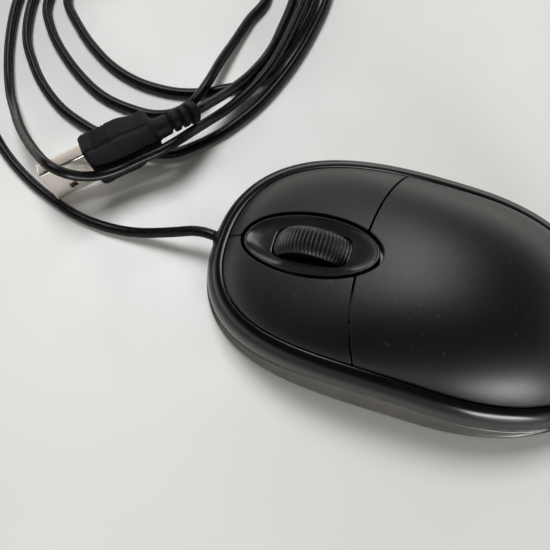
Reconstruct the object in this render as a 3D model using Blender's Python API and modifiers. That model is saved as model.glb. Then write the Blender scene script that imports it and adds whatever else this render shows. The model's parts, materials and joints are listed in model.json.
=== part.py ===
"""A wired optical computer mouse: housing, two sprung keys, scroll wheel, electronics, cord and plug.

Metres, +Z up. +Y is the nose, where the cord leaves, and +X is the mouse's right. The origin is on the
surface that the mouse rests on, under the middle of its housing.
"""

import math

import bmesh
import bpy
import numpy as np
from mathutils import Matrix, Vector

# Plan outline of the seam between the keys and palm rest inside it and the band outside it.
SEAM_HALF_WIDTH = 0.0259
SEAM_NOSE_Y = 0.0504
SEAM_TAIL_Y = -0.0508
WIDEST_Y = -0.008
NOSE_POWERS = (4.0, 2.3)
TAIL_POWERS = (2.2, 2.0)
OUTLINE_POINTS = 56
GAP = 0.0003

# Heights over the desk.
SEAM_HEIGHT, SEAM_RISE, SEAM_FALL = 0.022, 0.0018, 0.0105
CROWN_MEAN, CROWN_SWING, CROWN_Y, CROWN_WAVE = 0.0077, 0.0041, 0.009, 0.152
CROWN_POWER_SIDE, CROWN_POWER_NOSE, CROWN_POWER_TAIL, CROWN_ROUNDING = 2.4, 12.0, 5.0, 0.7
SHELL_WALL = 0.0018
SKIRT = 0.0014

# Band and base.
BAND_OUT, BAND_WAIST, BASE_OUT, NOSE_FLARE = 0.0041, 0.0015, 0.0046, 0.12
BASE_BOTTOM, BASE_FLOOR = 0.0006, 0.0024
WALL_LOW, WALL_RISE, WALL_MID_Y, WALL_REACH = 0.0027, 0.0061, 0.004, 0.046
FOOT_LENGTH, FOOT_WIDTH, FOOT_THICKNESS = 0.011, 0.0046, 0.0008
FOOT_X, FOOT_Y = 0.0115, 0.0375

# Keys and bezel.
KEY_REAR_Y, KEY_REAR_FALL, KEY_REAR_POWER = 0.0156, 0.0049, 2.6
KEY_GAP = 0.0005
KEY_HINGE_Y, KEY_HINGE_Z = 0.003, 0.0254
KEY_PEG_X, KEY_PEG_Y = 0.0138, 0.0385
BEZEL_Y, BEZEL_HALF_LENGTH, BEZEL_HALF_WIDTH = 0.02854, 0.01735, 0.00785
BEZEL_CLEARANCE = 0.0005
SLOT_HALF_LENGTH, SLOT_HALF_WIDTH, DISH_DEPTH = 0.0108, 0.0046, 0.0014

# Wheel and carrier.
WHEEL_Y, WHEEL_Z, WHEEL_RADIUS, WHEEL_HALF_WIDTH = 0.02635, 0.0172, 0.0114, 0.0037
TYRE_BORE, AXLE_RADIUS = 0.0096, 0.0014
DISC_X, DISC_RADIUS, DISC_SLOTS = 0.0116, 0.0044, 10
CARRIER_LOW, CARRIER_HIGH = 0.0135, 0.0160

# Board and what stands on it.
BOARD_LOW, BOARD_TOP = 0.0070, 0.0082
BOARD_SEAT = BOARD_TOP + GAP
SENSOR_Y = -0.008
LED_Y, LED_Z = -0.0188, 0.0122
BOARD_SCREW_X, BOARD_SCREW_Y = 0.016, 0.003
CASE_SCREW_Y = -0.040

# Cord and plug.
CORD_DIAMETER = 0.0028
CORD_EXIT_Z = 0.0093
CORD_POINTS = 108
PLUG_FRONT = (0.0021, 0.1038, 0.0083)
PLUG_YAW, PLUG_PITCH, PLUG_ROLL = math.radians(131.5), math.radians(-8.4), math.radians(14.0)
SHELL_VISIBLE, SHELL_WIDTH, SHELL_THICKNESS, SHELL_SHEET = 0.0138, 0.0120, 0.0045, 0.0003
OVERMOLD_LENGTH, OVERMOLD_WIDTH, OVERMOLD_THICKNESS = 0.0200, 0.0156, 0.0072
RELIEF_LENGTH, RELIEF_BEND = 0.0110, (-0.0020, -0.0022)

# The cord's route from the housing to the plug, in millimetres: out of the nose, then five loose turns.
# The first turn comes back under the plug and the second comes back over it.
LEAD = [(0.5, 55.0, 9.3), (0.7, 57.6, 9.1), (0.5, 61.0, 8.3), (-0.4, 65.0, 6.9), (-1.4, 70.2, 4.8),
        (-2.4, 76.0, 2.9), (-3.0, 82.0, 1.9), (-3.0, 88.5, 1.5), (-2.2, 95.0, 1.5), (-0.3, 101.5, 1.5),
        (4.0, 112.0, 1.5), (10.5, 122.5, 1.5)]
TURN_1 = [(20, 132.5, 1.5), (32, 141, 1.5), (48, 146, 1.5), (66, 147, 1.5), (83, 142.5, 1.5), (99, 131, 1.5),
          (110, 114.5, 1.5), (115.5, 96, 1.5), (116, 77, 1.5), (111.5, 60.5, 1.5), (102, 51, 1.5)]
UNDER_PLUG = [(85, 48.9, 1.5), (75, 49.6, 1.5), (65, 51.2, 1.5), (55.5, 53.7, 1.5), (46, 57.3, 1.5),
              (39, 61.2, 1.5), (33.3, 65.2, 1.5), (28, 70.3, 1.5), (23.6, 76, 1.5), (22, 81.5, 1.5),
              (21.9, 87.5, 1.5), (22.8, 95, 1.5), (24.5, 102.8, 1.5), (28, 112, 1.5)]
TURN_2 = [(34, 120.4, 1.5), (39.4, 125.5, 1.5), (47, 130.7, 1.5), (59.5, 134.1, 1.5), (72, 133.8, 1.5),
          (85, 129, 1.5), (96.5, 118.5, 1.5), (104, 104.5, 1.5), (107.3, 89, 1.5), (106.3, 74.5, 1.5),
          (101, 63, 1.7), (92, 56.4, 3.0)]
OVER_PLUG = [(81.5, 54.8, 4.1), (73.5, 55.2, 4.3), (65, 56.0, 4.4), (58, 57.1, 4.7), (51, 59.2, 4.8),
             (45, 61.9, 4.9), (39.5, 64.7, 5.4), (35.0, 67.2, 6.6), (30.8, 69.2, 8.5), (26.6, 71.0, 10.6),
             (22.2, 73.4, 12), (18.5, 76.4, 12.2), (14.8, 80.8, 11.6), (10.7, 85.4, 10.9), (7.1, 89.6, 11.7),
             (4.5, 93.4, 14), (3.1, 97.0, 16.7), (3.5, 101.2, 17.7), (6.4, 106.3, 15.8), (11.2, 112.5, 11.8),
             (16.6, 118.4, 7.5), (21.8, 123, 4.3)]
TURN_3 = [(27.8, 127.7, 2.1), (37.9, 132.8, 1.5), (48, 136.3, 1.5), (59, 138.6, 1.5), (72, 138.4, 1.5),
          (86, 134, 1.5), (98.5, 123.5, 1.5), (107.3, 109, 1.5), (111.5, 93, 1.5), (111.2, 77, 1.5),
          (106, 63, 1.5), (97, 54.6, 1.5)]
CROSS_1 = [(84.5, 52.4, 1.5), (76, 52.9, 1.5), (69, 54.2, 1.5), (63, 55.8, 1.5), (57.8, 57.3, 1.5),
           (53.5, 60.2, 1.5), (50, 64.2, 1.5), (47.3, 69, 1.5), (44.4, 74.5, 1.5), (42.5, 81, 1.5),
           (42, 87, 1.5), (42.5, 94, 1.5), (45.2, 102.7, 1.5), (50.5, 111.5, 1.5)]
TURN_4 = [(56, 118, 1.5), (62.7, 123.9, 1.5), (71, 125, 1.5), (80, 120.8, 1.5), (88, 112, 1.5),
          (94, 101, 1.5), (97, 89.5, 1.5), (96, 78.5, 1.5), (90, 69, 1.5)]
BESIDE_PLUG = [(80.2, 66.4, 1.5), (72, 68.9, 1.7), (63, 70.6, 2.4), (55, 71.9, 3.8), (46, 73.0, 4.9),
               (40, 75.0, 4.1), (35.6, 79.3, 2.5), (33.6, 85.2, 1.6), (33.4, 92, 1.5), (35, 101.5, 1.5)]
TURN_5 = [(39.5, 110.5, 1.5), (46.5, 119.7, 1.5), (52, 124.9, 1.5), (59, 129.1, 1.5), (70, 129.4, 1.5),
          (82, 125, 1.5), (92.5, 115.5, 1.5), (99.8, 103, 1.5), (103, 89, 1.5), (102, 76, 1.5),
          (97, 65.5, 1.5), (89.5, 59.8, 1.5)]
HOMEWARD = [(81.3, 58.5, 1.5), (72, 58.8, 1.6), (65.5, 59.2, 1.9), (60.5, 59.9, 2.9), (56, 60.9, 4.1),
            (51.5, 62.4, 5.0), (47.0, 64.4, 6.1), (43.2, 66.1, 7.4), (39.5, 67.8, 9.1), (36.2, 69.4, 10.7)]
ROUTE = (LEAD + TURN_1 + UNDER_PLUG + TURN_2 + OVER_PLUG + TURN_3 + CROSS_1 + TURN_4 + BESIDE_PLUG + TURN_5
         + HOMEWARD)

# ---------------------------------------------------------------- scene and materials


def clear_scene():
    for old in list(bpy.data.objects):
        bpy.data.objects.remove(old, do_unlink=True)


def new_collection(name):
    made = bpy.data.collections.new(name)
    bpy.context.scene.collection.children.link(made)
    return made


def material(name, colour, roughness, metallic=0.0):
    made = bpy.data.materials.new(name)
    made.use_nodes = True
    shader = made.node_tree.nodes["Principled BSDF"]
    shader.inputs["Base Color"].default_value = (*colour, 1.0)
    shader.inputs["Roughness"].default_value = roughness
    shader.inputs["Metallic"].default_value = metallic
    made.diffuse_color = (*colour, 1.0)
    return made


clear_scene()
PARTS = new_collection("wired_mouse")
CUTTERS = new_collection("cutters")

MATTE_BLACK = material("matte_black_abs", (0.022, 0.022, 0.023), 0.5)
SATIN_BLACK = material("satin_black_abs", (0.016, 0.017, 0.017), 0.22)
BEZEL_GREY = material("bezel_dark_satin", (0.05, 0.05, 0.048), 0.3)
TYRE_RUBBER = material("wheel_rubber", (0.012, 0.012, 0.012), 0.55)
BOARD_GREEN = material("board_green", (0.02, 0.16, 0.06), 0.45)
PLASTIC_WHITE = material("plastic_white", (0.8, 0.8, 0.76), 0.4)
PLASTIC_RED = material("plastic_red", (0.55, 0.04, 0.03), 0.4)
PLASTIC_CLEAR = material("plastic_clear", (0.85, 0.88, 0.9), 0.08)
STEEL = material("steel", (0.62, 0.62, 0.6), 0.28, 1.0)
GOLD = material("contact_gold", (0.85, 0.62, 0.2), 0.3, 1.0)
CORD_BLACK = material("cord_pvc", (0.015, 0.015, 0.016), 0.38)
SLIDE_PAD = material("slide_pad", (0.08, 0.08, 0.085), 0.5)


# ---------------------------------------------------------------- mesh helpers


def keep(obj, finish):
    """Puts an object with the parts, or with no material among the hidden cutters."""
    for holder in list(obj.users_collection):
        holder.objects.unlink(obj)
    if finish is None:
        CUTTERS.objects.link(obj)
        obj.hide_render = True
        obj.display_type = "WIRE"
        return obj
    PARTS.objects.link(obj)
    obj.data.materials.clear()
    obj.data.materials.append(finish)
    return obj


def smooth(obj, angle=35.0):
    obj.data.shade_smooth()
    obj.data.set_sharp_from_angle(angle=math.radians(angle))
    return obj


def from_bmesh(name, shape, finish):
    bmesh.ops.recalc_face_normals(shape, faces=shape.faces)
    mesh = bpy.data.meshes.new(name)
    shape.to_mesh(mesh)
    shape.free()
    return keep(bpy.data.objects.new(name, mesh), finish)


def box(name, low, high, finish=None, bevel=0.0):
    low, high = Vector(low), Vector(high)
    shape = bmesh.new()
    bmesh.ops.create_cube(shape, size=1.0)
    size = high - low
    bmesh.ops.scale(shape, vec=size, verts=shape.verts)
    bmesh.ops.translate(shape, vec=(low + high) / 2, verts=shape.verts)
    if bevel:
        bmesh.ops.bevel(shape, geom=shape.edges[:], offset=bevel, segments=2, profile=0.5, affect="EDGES")
    return from_bmesh(name, shape, finish)


def cylinder(name, start, end, radius, finish=None, sides=20):
    """A round bar between two points."""
    start, end = Vector(start), Vector(end)
    shape = bmesh.new()
    bmesh.ops.create_cone(shape, cap_ends=True, segments=sides, radius1=radius, radius2=radius,
                          depth=(end - start).length)
    turn = (end - start).to_track_quat("Z", "Y").to_matrix().to_4x4()
    bmesh.ops.transform(shape, matrix=Matrix.Translation((start + end) / 2) @ turn, verts=shape.verts)
    return from_bmesh(name, shape, finish)


def upright(name, place, low, high, radius, finish=None, sides=20):
    return cylinder(name, (*place, low), (*place, high), radius, finish, sides)


def turned(name, profile, centre, finish, steps=32):
    """A profile of (radius, x) points, top to bottom down the outer side, turned about the X direction."""
    mesh = bpy.data.meshes.new(name)
    points = [(radius, 0.0, along) for radius, along in profile]
    closed = profile[0][0] > 0
    edges = [(i, i + 1) for i in range(len(points) - 1)]
    if closed:
        edges.append((len(points) - 1, 0))
    mesh.from_pydata(points, edges, [])
    obj = keep(bpy.data.objects.new(name, mesh), finish)
    screw = obj.modifiers.new("turn", "SCREW")
    screw.axis = "Z"
    screw.steps = steps
    screw.render_steps = steps
    screw.use_merge_vertices = True
    screw.merge_threshold = 0.00001
    obj.rotation_euler = (0.0, math.radians(90), 0.0)
    obj.location = centre
    return obj


def as_mesh(obj, name, finish):
    """The object made a mesh with its caps welded, in world space."""
    bpy.context.view_layer.update()
    graph = bpy.context.evaluated_depsgraph_get()
    mesh = bpy.data.meshes.new_from_object(obj.evaluated_get(graph))
    mesh.transform(obj.matrix_world)
    shape = bmesh.new()
    shape.from_mesh(mesh)
    bmesh.ops.remove_doubles(shape, verts=shape.verts, dist=0.000002)
    bpy.data.objects.remove(obj, do_unlink=True)
    return from_bmesh(name, shape, finish)


def prism(name, outline, low, high, finish=None):
    """A flat outline of (x, y) points given a thickness along Z."""
    curve = bpy.data.curves.new(name + "_outline", "CURVE")
    curve.dimensions = "2D"
    curve.fill_mode = "BOTH"
    curve.extrude = (high - low) / 2
    spline = curve.splines.new("POLY")
    spline.points.add(len(outline) - 1)
    for point, (x, y) in zip(spline.points, outline):
        point.co = (x, y, 0.0, 1.0)
    spline.use_cyclic_u = True
    obj = bpy.data.objects.new(name + "_outline", curve)
    obj.location.z = (low + high) / 2
    bpy.context.scene.collection.objects.link(obj)
    return as_mesh(obj, name, finish)


def tube(name, points, radius, finish, resolution=2):
    """A round wire along the points."""
    curve = bpy.data.curves.new(name + "_path", "CURVE")
    curve.dimensions = "3D"
    curve.bevel_depth = radius
    curve.bevel_resolution = resolution
    curve.use_fill_caps = True
    spline = curve.splines.new("POLY")
    spline.points.add(len(points) - 1)
    for point, place in zip(spline.points, points):
        point.co = (*place, 1.0)
    obj = bpy.data.objects.new(name + "_path", curve)
    bpy.context.scene.collection.objects.link(obj)
    return smooth(as_mesh(obj, name, finish), 60.0)


def loft(name, rings, finish, closed=False, tips=(None, None)):
    """A skin over rings of equal count. It closes on itself, or ends in a point or a flat cap."""
    shape = bmesh.new()
    rows = [[shape.verts.new(point) for point in ring] for ring in rings]
    count = len(rows[0])
    pairs = list(zip(rows, rows[1:]))
    if closed:
        pairs.append((rows[-1], rows[0]))
    for one, other in pairs:
        for i in range(count):
            j = (i + 1) % count
            shape.faces.new((one[i], one[j], other[j], other[i]))
    if not closed:
        for row, tip in ((rows[0], tips[0]), (rows[-1], tips[1])):
            if tip is None:
                shape.faces.new(row)
                continue
            point = shape.verts.new(tip)
            for i in range(count):
                shape.faces.new((row[i], row[(i + 1) % count], point))
    return from_bmesh(name, shape, finish)


def boolean(obj, other, operation):
    change = obj.modifiers.new(operation.lower() + "_" + other.name, "BOOLEAN")
    change.operation = operation
    change.object = other
    change.solver = "EXACT"
    return obj


def cut(obj, *cutters):
    for cutter in cutters:
        boolean(obj, cutter, "DIFFERENCE")
    return obj


def join(obj, *additions):
    for addition in additions:
        boolean(obj, addition, "UNION")
    return obj


def capsule(length, width, centre, angle=0.0, steps=6):
    """The outline of a slot with round ends."""
    radius = width / 2
    reach = length / 2 - radius
    points = []
    for end in (1, -1):
        for i in range(steps + 1):
            turn = math.pi * (i / steps - 0.5)
            points.append((end * (reach + radius * math.cos(turn)), end * radius * math.sin(turn)))
    cos, sin = math.cos(angle), math.sin(angle)
    return [(centre[0] + x * cos - y * sin, centre[1] + x * sin + y * cos) for x, y in points]


# ---------------------------------------------------------------- the housing's form


def outline_point(angle):
    """A point of the seam seen from above. Angle 0 is the nose, and it grows towards +X."""
    side, ahead = math.sin(angle), math.cos(angle)
    powers, end = (NOSE_POWERS, SEAM_NOSE_Y) if ahead >= 0 else (TAIL_POWERS, SEAM_TAIL_Y)
    y = WIDEST_Y + (end - WIDEST_Y) * abs(ahead) ** (2 / powers[0])
    x = math.copysign(SEAM_HALF_WIDTH * abs(side) ** (2 / powers[1]), side)
    return x, y


def spaced_outline(count):
    """Evenly spaced seam points with their outward normals."""
    fine = np.array([outline_point(2 * math.pi * i / 1440) for i in range(1441)])
    steps = np.hypot(*np.diff(fine, axis=0).T)
    along = np.concatenate([[0.0], np.cumsum(steps)])
    wanted = np.linspace(0.0, along[-1], count, endpoint=False)
    points = np.stack([np.interp(wanted, along, fine[:, k]) for k in (0, 1)], axis=1)
    ahead = np.roll(points, -1, axis=0) - np.roll(points, 1, axis=0)
    ahead /= np.hypot(*ahead.T)[:, None]
    return points, np.stack([-ahead[:, 1], ahead[:, 0]], axis=1)


OUTLINE, NORMALS = spaced_outline(OUTLINE_POINTS)
RAYS = np.arctan2(OUTLINE[:, 0], OUTLINE[:, 1])
RAY_ORDER = np.argsort(RAYS)
RAY_LENGTHS = np.hypot(*OUTLINE.T)


def seam_height(y):
    share = y / 0.05
    return SEAM_HEIGHT + SEAM_RISE * share - SEAM_FALL * share**2


def top_height(x, y):
    """The height of the keys and palm rest: a crown that stands on the seam's height."""
    ray = math.atan2(x, y)
    reach = np.interp(ray, RAYS[RAY_ORDER], RAY_LENGTHS[RAY_ORDER], period=2 * math.pi)
    share = min(1.0, math.hypot(x, y) / reach)
    end = CROWN_POWER_NOSE if y > 0 else CROWN_POWER_TAIL
    power = CROWN_POWER_SIDE + (end - CROWN_POWER_SIDE) * math.cos(ray) ** 2
    crown = CROWN_MEAN - CROWN_SWING * math.sin(2 * math.pi * (y - CROWN_Y) / CROWN_WAVE)
    return seam_height(y) + crown * (1 - share**power) ** CROWN_ROUNDING


def wall_height(y):
    """Where the band meets the base: high along the flanks, low at the nose and tail."""
    share = max(0.0, 1 - ((y - WALL_MID_Y) / WALL_REACH) ** 2)
    return WALL_LOW + WALL_RISE * share**1.5


def flare(y):
    return 1 + NOSE_FLARE * min(1.0, max(0.0, y / 0.05)) ** 2


def waist(y):
    """How far out the band meets the base: further in along the flanks, where the wall leans in."""
    return BAND_OUT - BAND_WAIST * (wall_height(y) - WALL_LOW) / WALL_RISE


def ring(offset, height):
    """The outline moved outwards, by an amount and at a height that may depend on the place."""
    points = []
    for (x, y), (nx, ny) in zip(OUTLINE, NORMALS):
        out = offset(y) if callable(offset) else offset
        out *= flare(y) if out > 0 else 1
        points.append((x + nx * out, y + ny * out, height(y) if callable(height) else height))
    return points


def shrunk_ring(share, inset, lower=0.0):
    """The outline drawn in and scaled about the origin, on the top surface or under it."""
    points = []
    for (x, y), (nx, ny) in zip(OUTLINE, NORMALS):
        px, py = (x - nx * inset) * share, (y - ny * inset) * share
        points.append((px, py, top_height(px, py) - lower))
    return points


def top_blank(name, finish=None):
    """The whole cover inside the seam, from which the palm rest and the two keys are cut."""
    inset = GAP / 2
    rings = [shrunk_ring(share, inset) for share in (0.2, 0.4, 0.58, 0.74, 0.86, 0.94, 0.98)]
    rings.append(ring(-inset, seam_height))
    rings.append(ring(-inset, lambda y: seam_height(y) - SKIRT))
    rings.append(ring(-inset - 0.0014, lambda y: seam_height(y) - SKIRT))
    rings += [shrunk_ring(share, inset, SHELL_WALL) for share in (0.89, 0.78, 0.6, 0.4, 0.2)]
    middle = top_height(0.0, 0.0)
    return loft(name, rings, finish, tips=((0, 0, middle), (0, 0, middle - SHELL_WALL)))


def key_rear(x):
    return KEY_REAR_Y - KEY_REAR_FALL * min(1.2, abs(x) / 0.025) ** KEY_REAR_POWER


def oval(half_length, half_width, count=40, square=2.0):
    points = []
    for i in range(count):
        turn = 2 * math.pi * i / count
        side, ahead = math.sin(turn), math.cos(turn)
        points.append((math.copysign(half_width * abs(side) ** (2 / square), side),
                       BEZEL_Y + math.copysign(half_length * abs(ahead) ** (2 / square), ahead)))
    return points


# ---------------------------------------------------------------- housing


def make_base_shell():
    """The tray: floor, flank walls, board posts, screw boss and lens window."""
    top = lambda y: wall_height(y) - GAP / 2
    shoulder = lambda y: min(wall_height(y) - 0.0004, 0.0026)
    rings = [ring(BASE_OUT - 0.0012, BASE_BOTTOM), ring(BASE_OUT, BASE_BOTTOM + 0.0010),
             ring(BASE_OUT, shoulder), ring(lambda y: waist(y) + 0.0001, top),
             ring(lambda y: waist(y) - 0.0014, top), ring(BASE_OUT - 0.0020, BASE_FLOOR)]
    base = loft("base_shell", rings, MATTE_BLACK)
    for side in (-1, 1):
        screwed = side * BOARD_SCREW_X, BOARD_SCREW_Y
        low, high = BASE_BOTTOM + 0.0008, BOARD_LOW - GAP
        join(base, upright(f"base_post_{side}", screwed, low, high, 0.0025, sides=16),
             upright(f"base_pin_{side}", (side * 0.0155, -0.0215), low, high, 0.0018, sides=12))
    join(base, upright("base_boss", (0, CASE_SCREW_Y), BASE_BOTTOM + 0.0008, 0.009, 0.0036))
    cut(base, upright("case_screw_hole", (0, CASE_SCREW_Y), 0, 0.0102, 0.0015, sides=16),
        upright("case_screw_seat", (0, CASE_SCREW_Y), 0, 0.0027, 0.0029),
        prism("lens_window", capsule(0.0124, 0.0086, (0, SENSOR_Y), math.pi / 2), 0, 0.0035),
        box("nose_notch", (-0.0042, 0.0542, -0.001), (0.0042, 0.0610, 0.0060)))
    for side in (-1, 1):
        cut(base, upright(f"post_hole_{side}", (side * BOARD_SCREW_X, BOARD_SCREW_Y), 0.0030, 0.0080, 0.0013,
                          sides=12))
    for place, outline in foot_outlines(0.0004).items():
        cut(base, prism("foot_recess_" + place, outline, -0.001, BASE_BOTTOM + 0.0005))
    return smooth(base)


def foot_outlines(grow=0.0):
    """The four slide pads, each lying along the rounded edge of the base."""
    outlines = {}
    for end, ahead in (("front", 1), ("rear", -1)):
        for side, sign in (("left", -1), ("right", 1)):
            turn = -sign * ahead * math.radians(28)
            outlines[f"{end}_{side}"] = capsule(FOOT_LENGTH + grow, FOOT_WIDTH + grow,
                                                (sign * FOOT_X, ahead * FOOT_Y), turn)
    return outlines


def make_feet():
    for place, outline in foot_outlines().items():
        prism("glide_foot_" + place, outline, 0.0, FOOT_THICKNESS, SLIDE_PAD)


def make_frame_band():
    """The shiny ring round the keys and palm rest, with a notch at the nose for the cord."""
    low = lambda y: wall_height(y) + GAP / 2
    between = lambda y, share: seam_height(y) - 0.0044 + (low(y) - seam_height(y) + 0.0044) * share
    section = [(0.00015, lambda y: seam_height(y)), (0.0017, lambda y: seam_height(y) - 0.0005),
               (0.0031, lambda y: seam_height(y) - 0.0020), (0.0038, lambda y: seam_height(y) - 0.0044),
               (BAND_OUT, lambda y: between(y, 0.35)), (lambda y: 0.6 * BAND_OUT + 0.4 * waist(y),
                                                        lambda y: between(y, 0.72)), (waist, low),
               (lambda y: waist(y) - 0.0012, low), (0.0014, lambda y: seam_height(y) - 0.0045),
               (0.00015, lambda y: seam_height(y) - 0.0026)]
    band = loft("frame_band", [ring(offset, height) for offset, height in section], SATIN_BLACK, closed=True)
    cut(band, box("cord_notch", (-0.00245, 0.0490, 0.0010), (0.00245, 0.0610, 0.0092)),
        cylinder("cord_notch_top", (0, 0.0490, 0.0092), (0, 0.0610, 0.0092), 0.00245, sides=20))
    return smooth(band)


def make_grommet():
    """The moulded block that holds the cord in the notch at the nose."""
    body = box("cord_grommet", (-0.0021, 0.0507, 0.0050), (0.0021, 0.0546, 0.0092), CORD_BLACK)
    join(body, cylinder("grommet_top", (0, 0.0507, 0.0092), (0, 0.0546, 0.0092), 0.0021, sides=20),
         box("grommet_flange", (-0.0031, 0.0487, 0.0040), (0.0031, 0.0495, 0.0104)),
         box("grommet_neck", (-0.0019, 0.0492, 0.0048), (0.0019, 0.0511, 0.0100)))
    return smooth(body)


def bezel_cutter(name):
    outline = oval(BEZEL_HALF_LENGTH + BEZEL_CLEARANCE, BEZEL_HALF_WIDTH + BEZEL_CLEARANCE)
    return prism(name, outline, 0.0, 0.06)


def make_palm_cover():
    palm = top_blank("palm_cover", MATTE_BLACK)
    edge = [(x / 1000, key_rear(x / 1000) - KEY_GAP / 2) for x in range(-34, 35, 2)]
    region = prism("palm_region", edge + [(0.034, -0.07), (-0.034, -0.07)], -0.01, 0.06)
    boolean(palm, region, "INTERSECT")
    cut(palm, bezel_cutter("palm_bezel_hole"))
    turns = [2 * math.pi * i / 20 for i in range(20)]
    foot = [(0.0032 * math.cos(turn), CASE_SCREW_Y + 0.0032 * math.sin(turn), 0.0094) for turn in turns]
    head = [(x, y, top_height(x, y) - 0.0008) for x, y, z in foot]
    crown = (0, CASE_SCREW_Y, top_height(0, CASE_SCREW_Y) - 0.0008)
    join(palm, loft("palm_post", [foot, head], None, tips=(None, crown)))
    cut(palm, upright("palm_post_hole", (0, CASE_SCREW_Y), 0.0080, 0.0165, 0.0015, sides=16))
    return smooth(palm)


def make_key(side, sign):
    """A key with the tongue that it hinges on and the peg that presses its switch."""
    key = top_blank(side + "_key", MATTE_BLACK)
    steps = [0.00015] + [x / 1000 for x in range(2, 35, 2)]
    edge = [(sign * x, key_rear(x) + KEY_GAP / 2) for x in steps]
    region = prism(side + "_key_region", edge + [(sign * 0.034, 0.07), (sign * 0.00015, 0.07)], -0.01, 0.06)
    boolean(key, region, "INTERSECT")
    cut(key, bezel_cutter(side + "_key_bezel_hole"))
    tongue = sorted((sign * 0.0085, sign * 0.0165))
    join(key, box(side + "_tongue", (tongue[0], KEY_HINGE_Y, 0.0246), (tongue[1], 0.0200, 0.0264)),
         upright(side + "_peg", (sign * KEY_PEG_X, KEY_PEG_Y), 0.0160, 0.0197, 0.0014, sides=14))
    return smooth(key)


def make_wheel_bezel():
    """The oval dish that the wheel stands out of, with a front leg and a rear tongue under the palm rest."""
    rim = lambda inset: oval(BEZEL_HALF_LENGTH - inset, BEZEL_HALF_WIDTH - inset)
    slot = oval(SLOT_HALF_LENGTH, SLOT_HALF_WIDTH, square=5.0)
    on_top = lambda points, lower: [(x, y, top_height(x, y) - lower) for x, y in points]
    middle = [((a[0] + b[0]) / 2, (a[1] + b[1]) / 2) for a, b in zip(rim(0.0004), slot)]
    rings = [on_top(rim(0.0), 0.0024), on_top(rim(0.0), 0.0002), on_top(rim(0.0004), 0.0),
             on_top(middle, DISH_DEPTH * 0.6), on_top(slot, DISH_DEPTH), on_top(slot, DISH_DEPTH + 0.0011),
             on_top(middle, DISH_DEPTH * 0.6 + 0.0012), on_top(rim(0.0010), 0.0024)]
    bezel = loft("wheel_bezel", rings, BEZEL_GREY, closed=True)
    join(bezel, upright("bezel_leg", (-0.0008, 0.0445), BASE_FLOOR + GAP, 0.0170, 0.0010, sides=12),
         box("bezel_tongue", (-0.0028, 0.0060, 0.0258), (0.0028, 0.0121, 0.0270)))
    return smooth(bezel)


def make_case_screw():
    screw = upright("case_screw", (0, CASE_SCREW_Y), 0.0009, 0.0023, 0.0025, STEEL)
    join(screw, upright("case_screw_shank", (0, CASE_SCREW_Y), 0.0015, 0.0150, 0.0012, sides=14))
    return cross_slot(screw, "case_screw", (0, CASE_SCREW_Y, 0.0009))


def cross_slot(screw, name, place):
    """The cross recess in a screw's head."""
    for i, reach in enumerate(((0.0013, 0.0003, 0.0006), (0.0003, 0.0013, 0.0006))):
        cut(screw, box(f"{name}_slot_{i}", Vector(place) - Vector(reach), Vector(place) + Vector(reach)))
    return screw


# ---------------------------------------------------------------- wheel


def make_wheel():
    centre = (0.0, WHEEL_Y, WHEEL_Z)
    half = WHEEL_HALF_WIDTH
    groove = TYRE_BORE - 0.0002
    turned("wheel_hub", [(0.0, 0.0130), (AXLE_RADIUS, 0.0130), (AXLE_RADIUS, 0.0052), (0.0030, 0.0052),
                         (0.0030, half - 0.0006), (groove, half - 0.0006), (groove, 0.0006 - half),
                         (0.0030, 0.0006 - half), (0.0030, -0.0052), (AXLE_RADIUS, -0.0052),
                         (AXLE_RADIUS, -0.0086), (0.0, -0.0086)], centre, MATTE_BLACK)
    shoulder, edge = WHEEL_RADIUS - 0.0012, WHEEL_RADIUS - 0.0003
    turned("wheel_tyre", [(TYRE_BORE, half), (shoulder, half), (edge, half - 0.0008), (WHEEL_RADIUS, 0.0),
                          (edge, 0.0008 - half), (shoulder, -half), (TYRE_BORE, -half)], centre, TYRE_RUBBER)
    smooth(bpy.data.objects["wheel_hub"])
    smooth(bpy.data.objects["wheel_tyre"])
    disc = cylinder("encoder_disc", (DISC_X - 0.0004, WHEEL_Y, WHEEL_Z), (DISC_X + 0.0004, WHEEL_Y, WHEEL_Z),
                    DISC_RADIUS, PLASTIC_RED, 40)
    cut(disc, cylinder("disc_bore", (DISC_X - 0.001, WHEEL_Y, WHEEL_Z), (DISC_X + 0.001, WHEEL_Y, WHEEL_Z),
                       AXLE_RADIUS + 0.0001, sides=20))
    for i in range(DISC_SLOTS):
        turn = 2 * math.pi * (i + 0.5) / DISC_SLOTS
        window = box(f"disc_window_{i}", (DISC_X - 0.001, -0.0004, 0.0024), (DISC_X + 0.001, 0.0004, 0.0038))
        window.data.transform(Matrix.Translation(centre) @ Matrix.Rotation(turn, 4, "X"))
        cut(disc, window)


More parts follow.
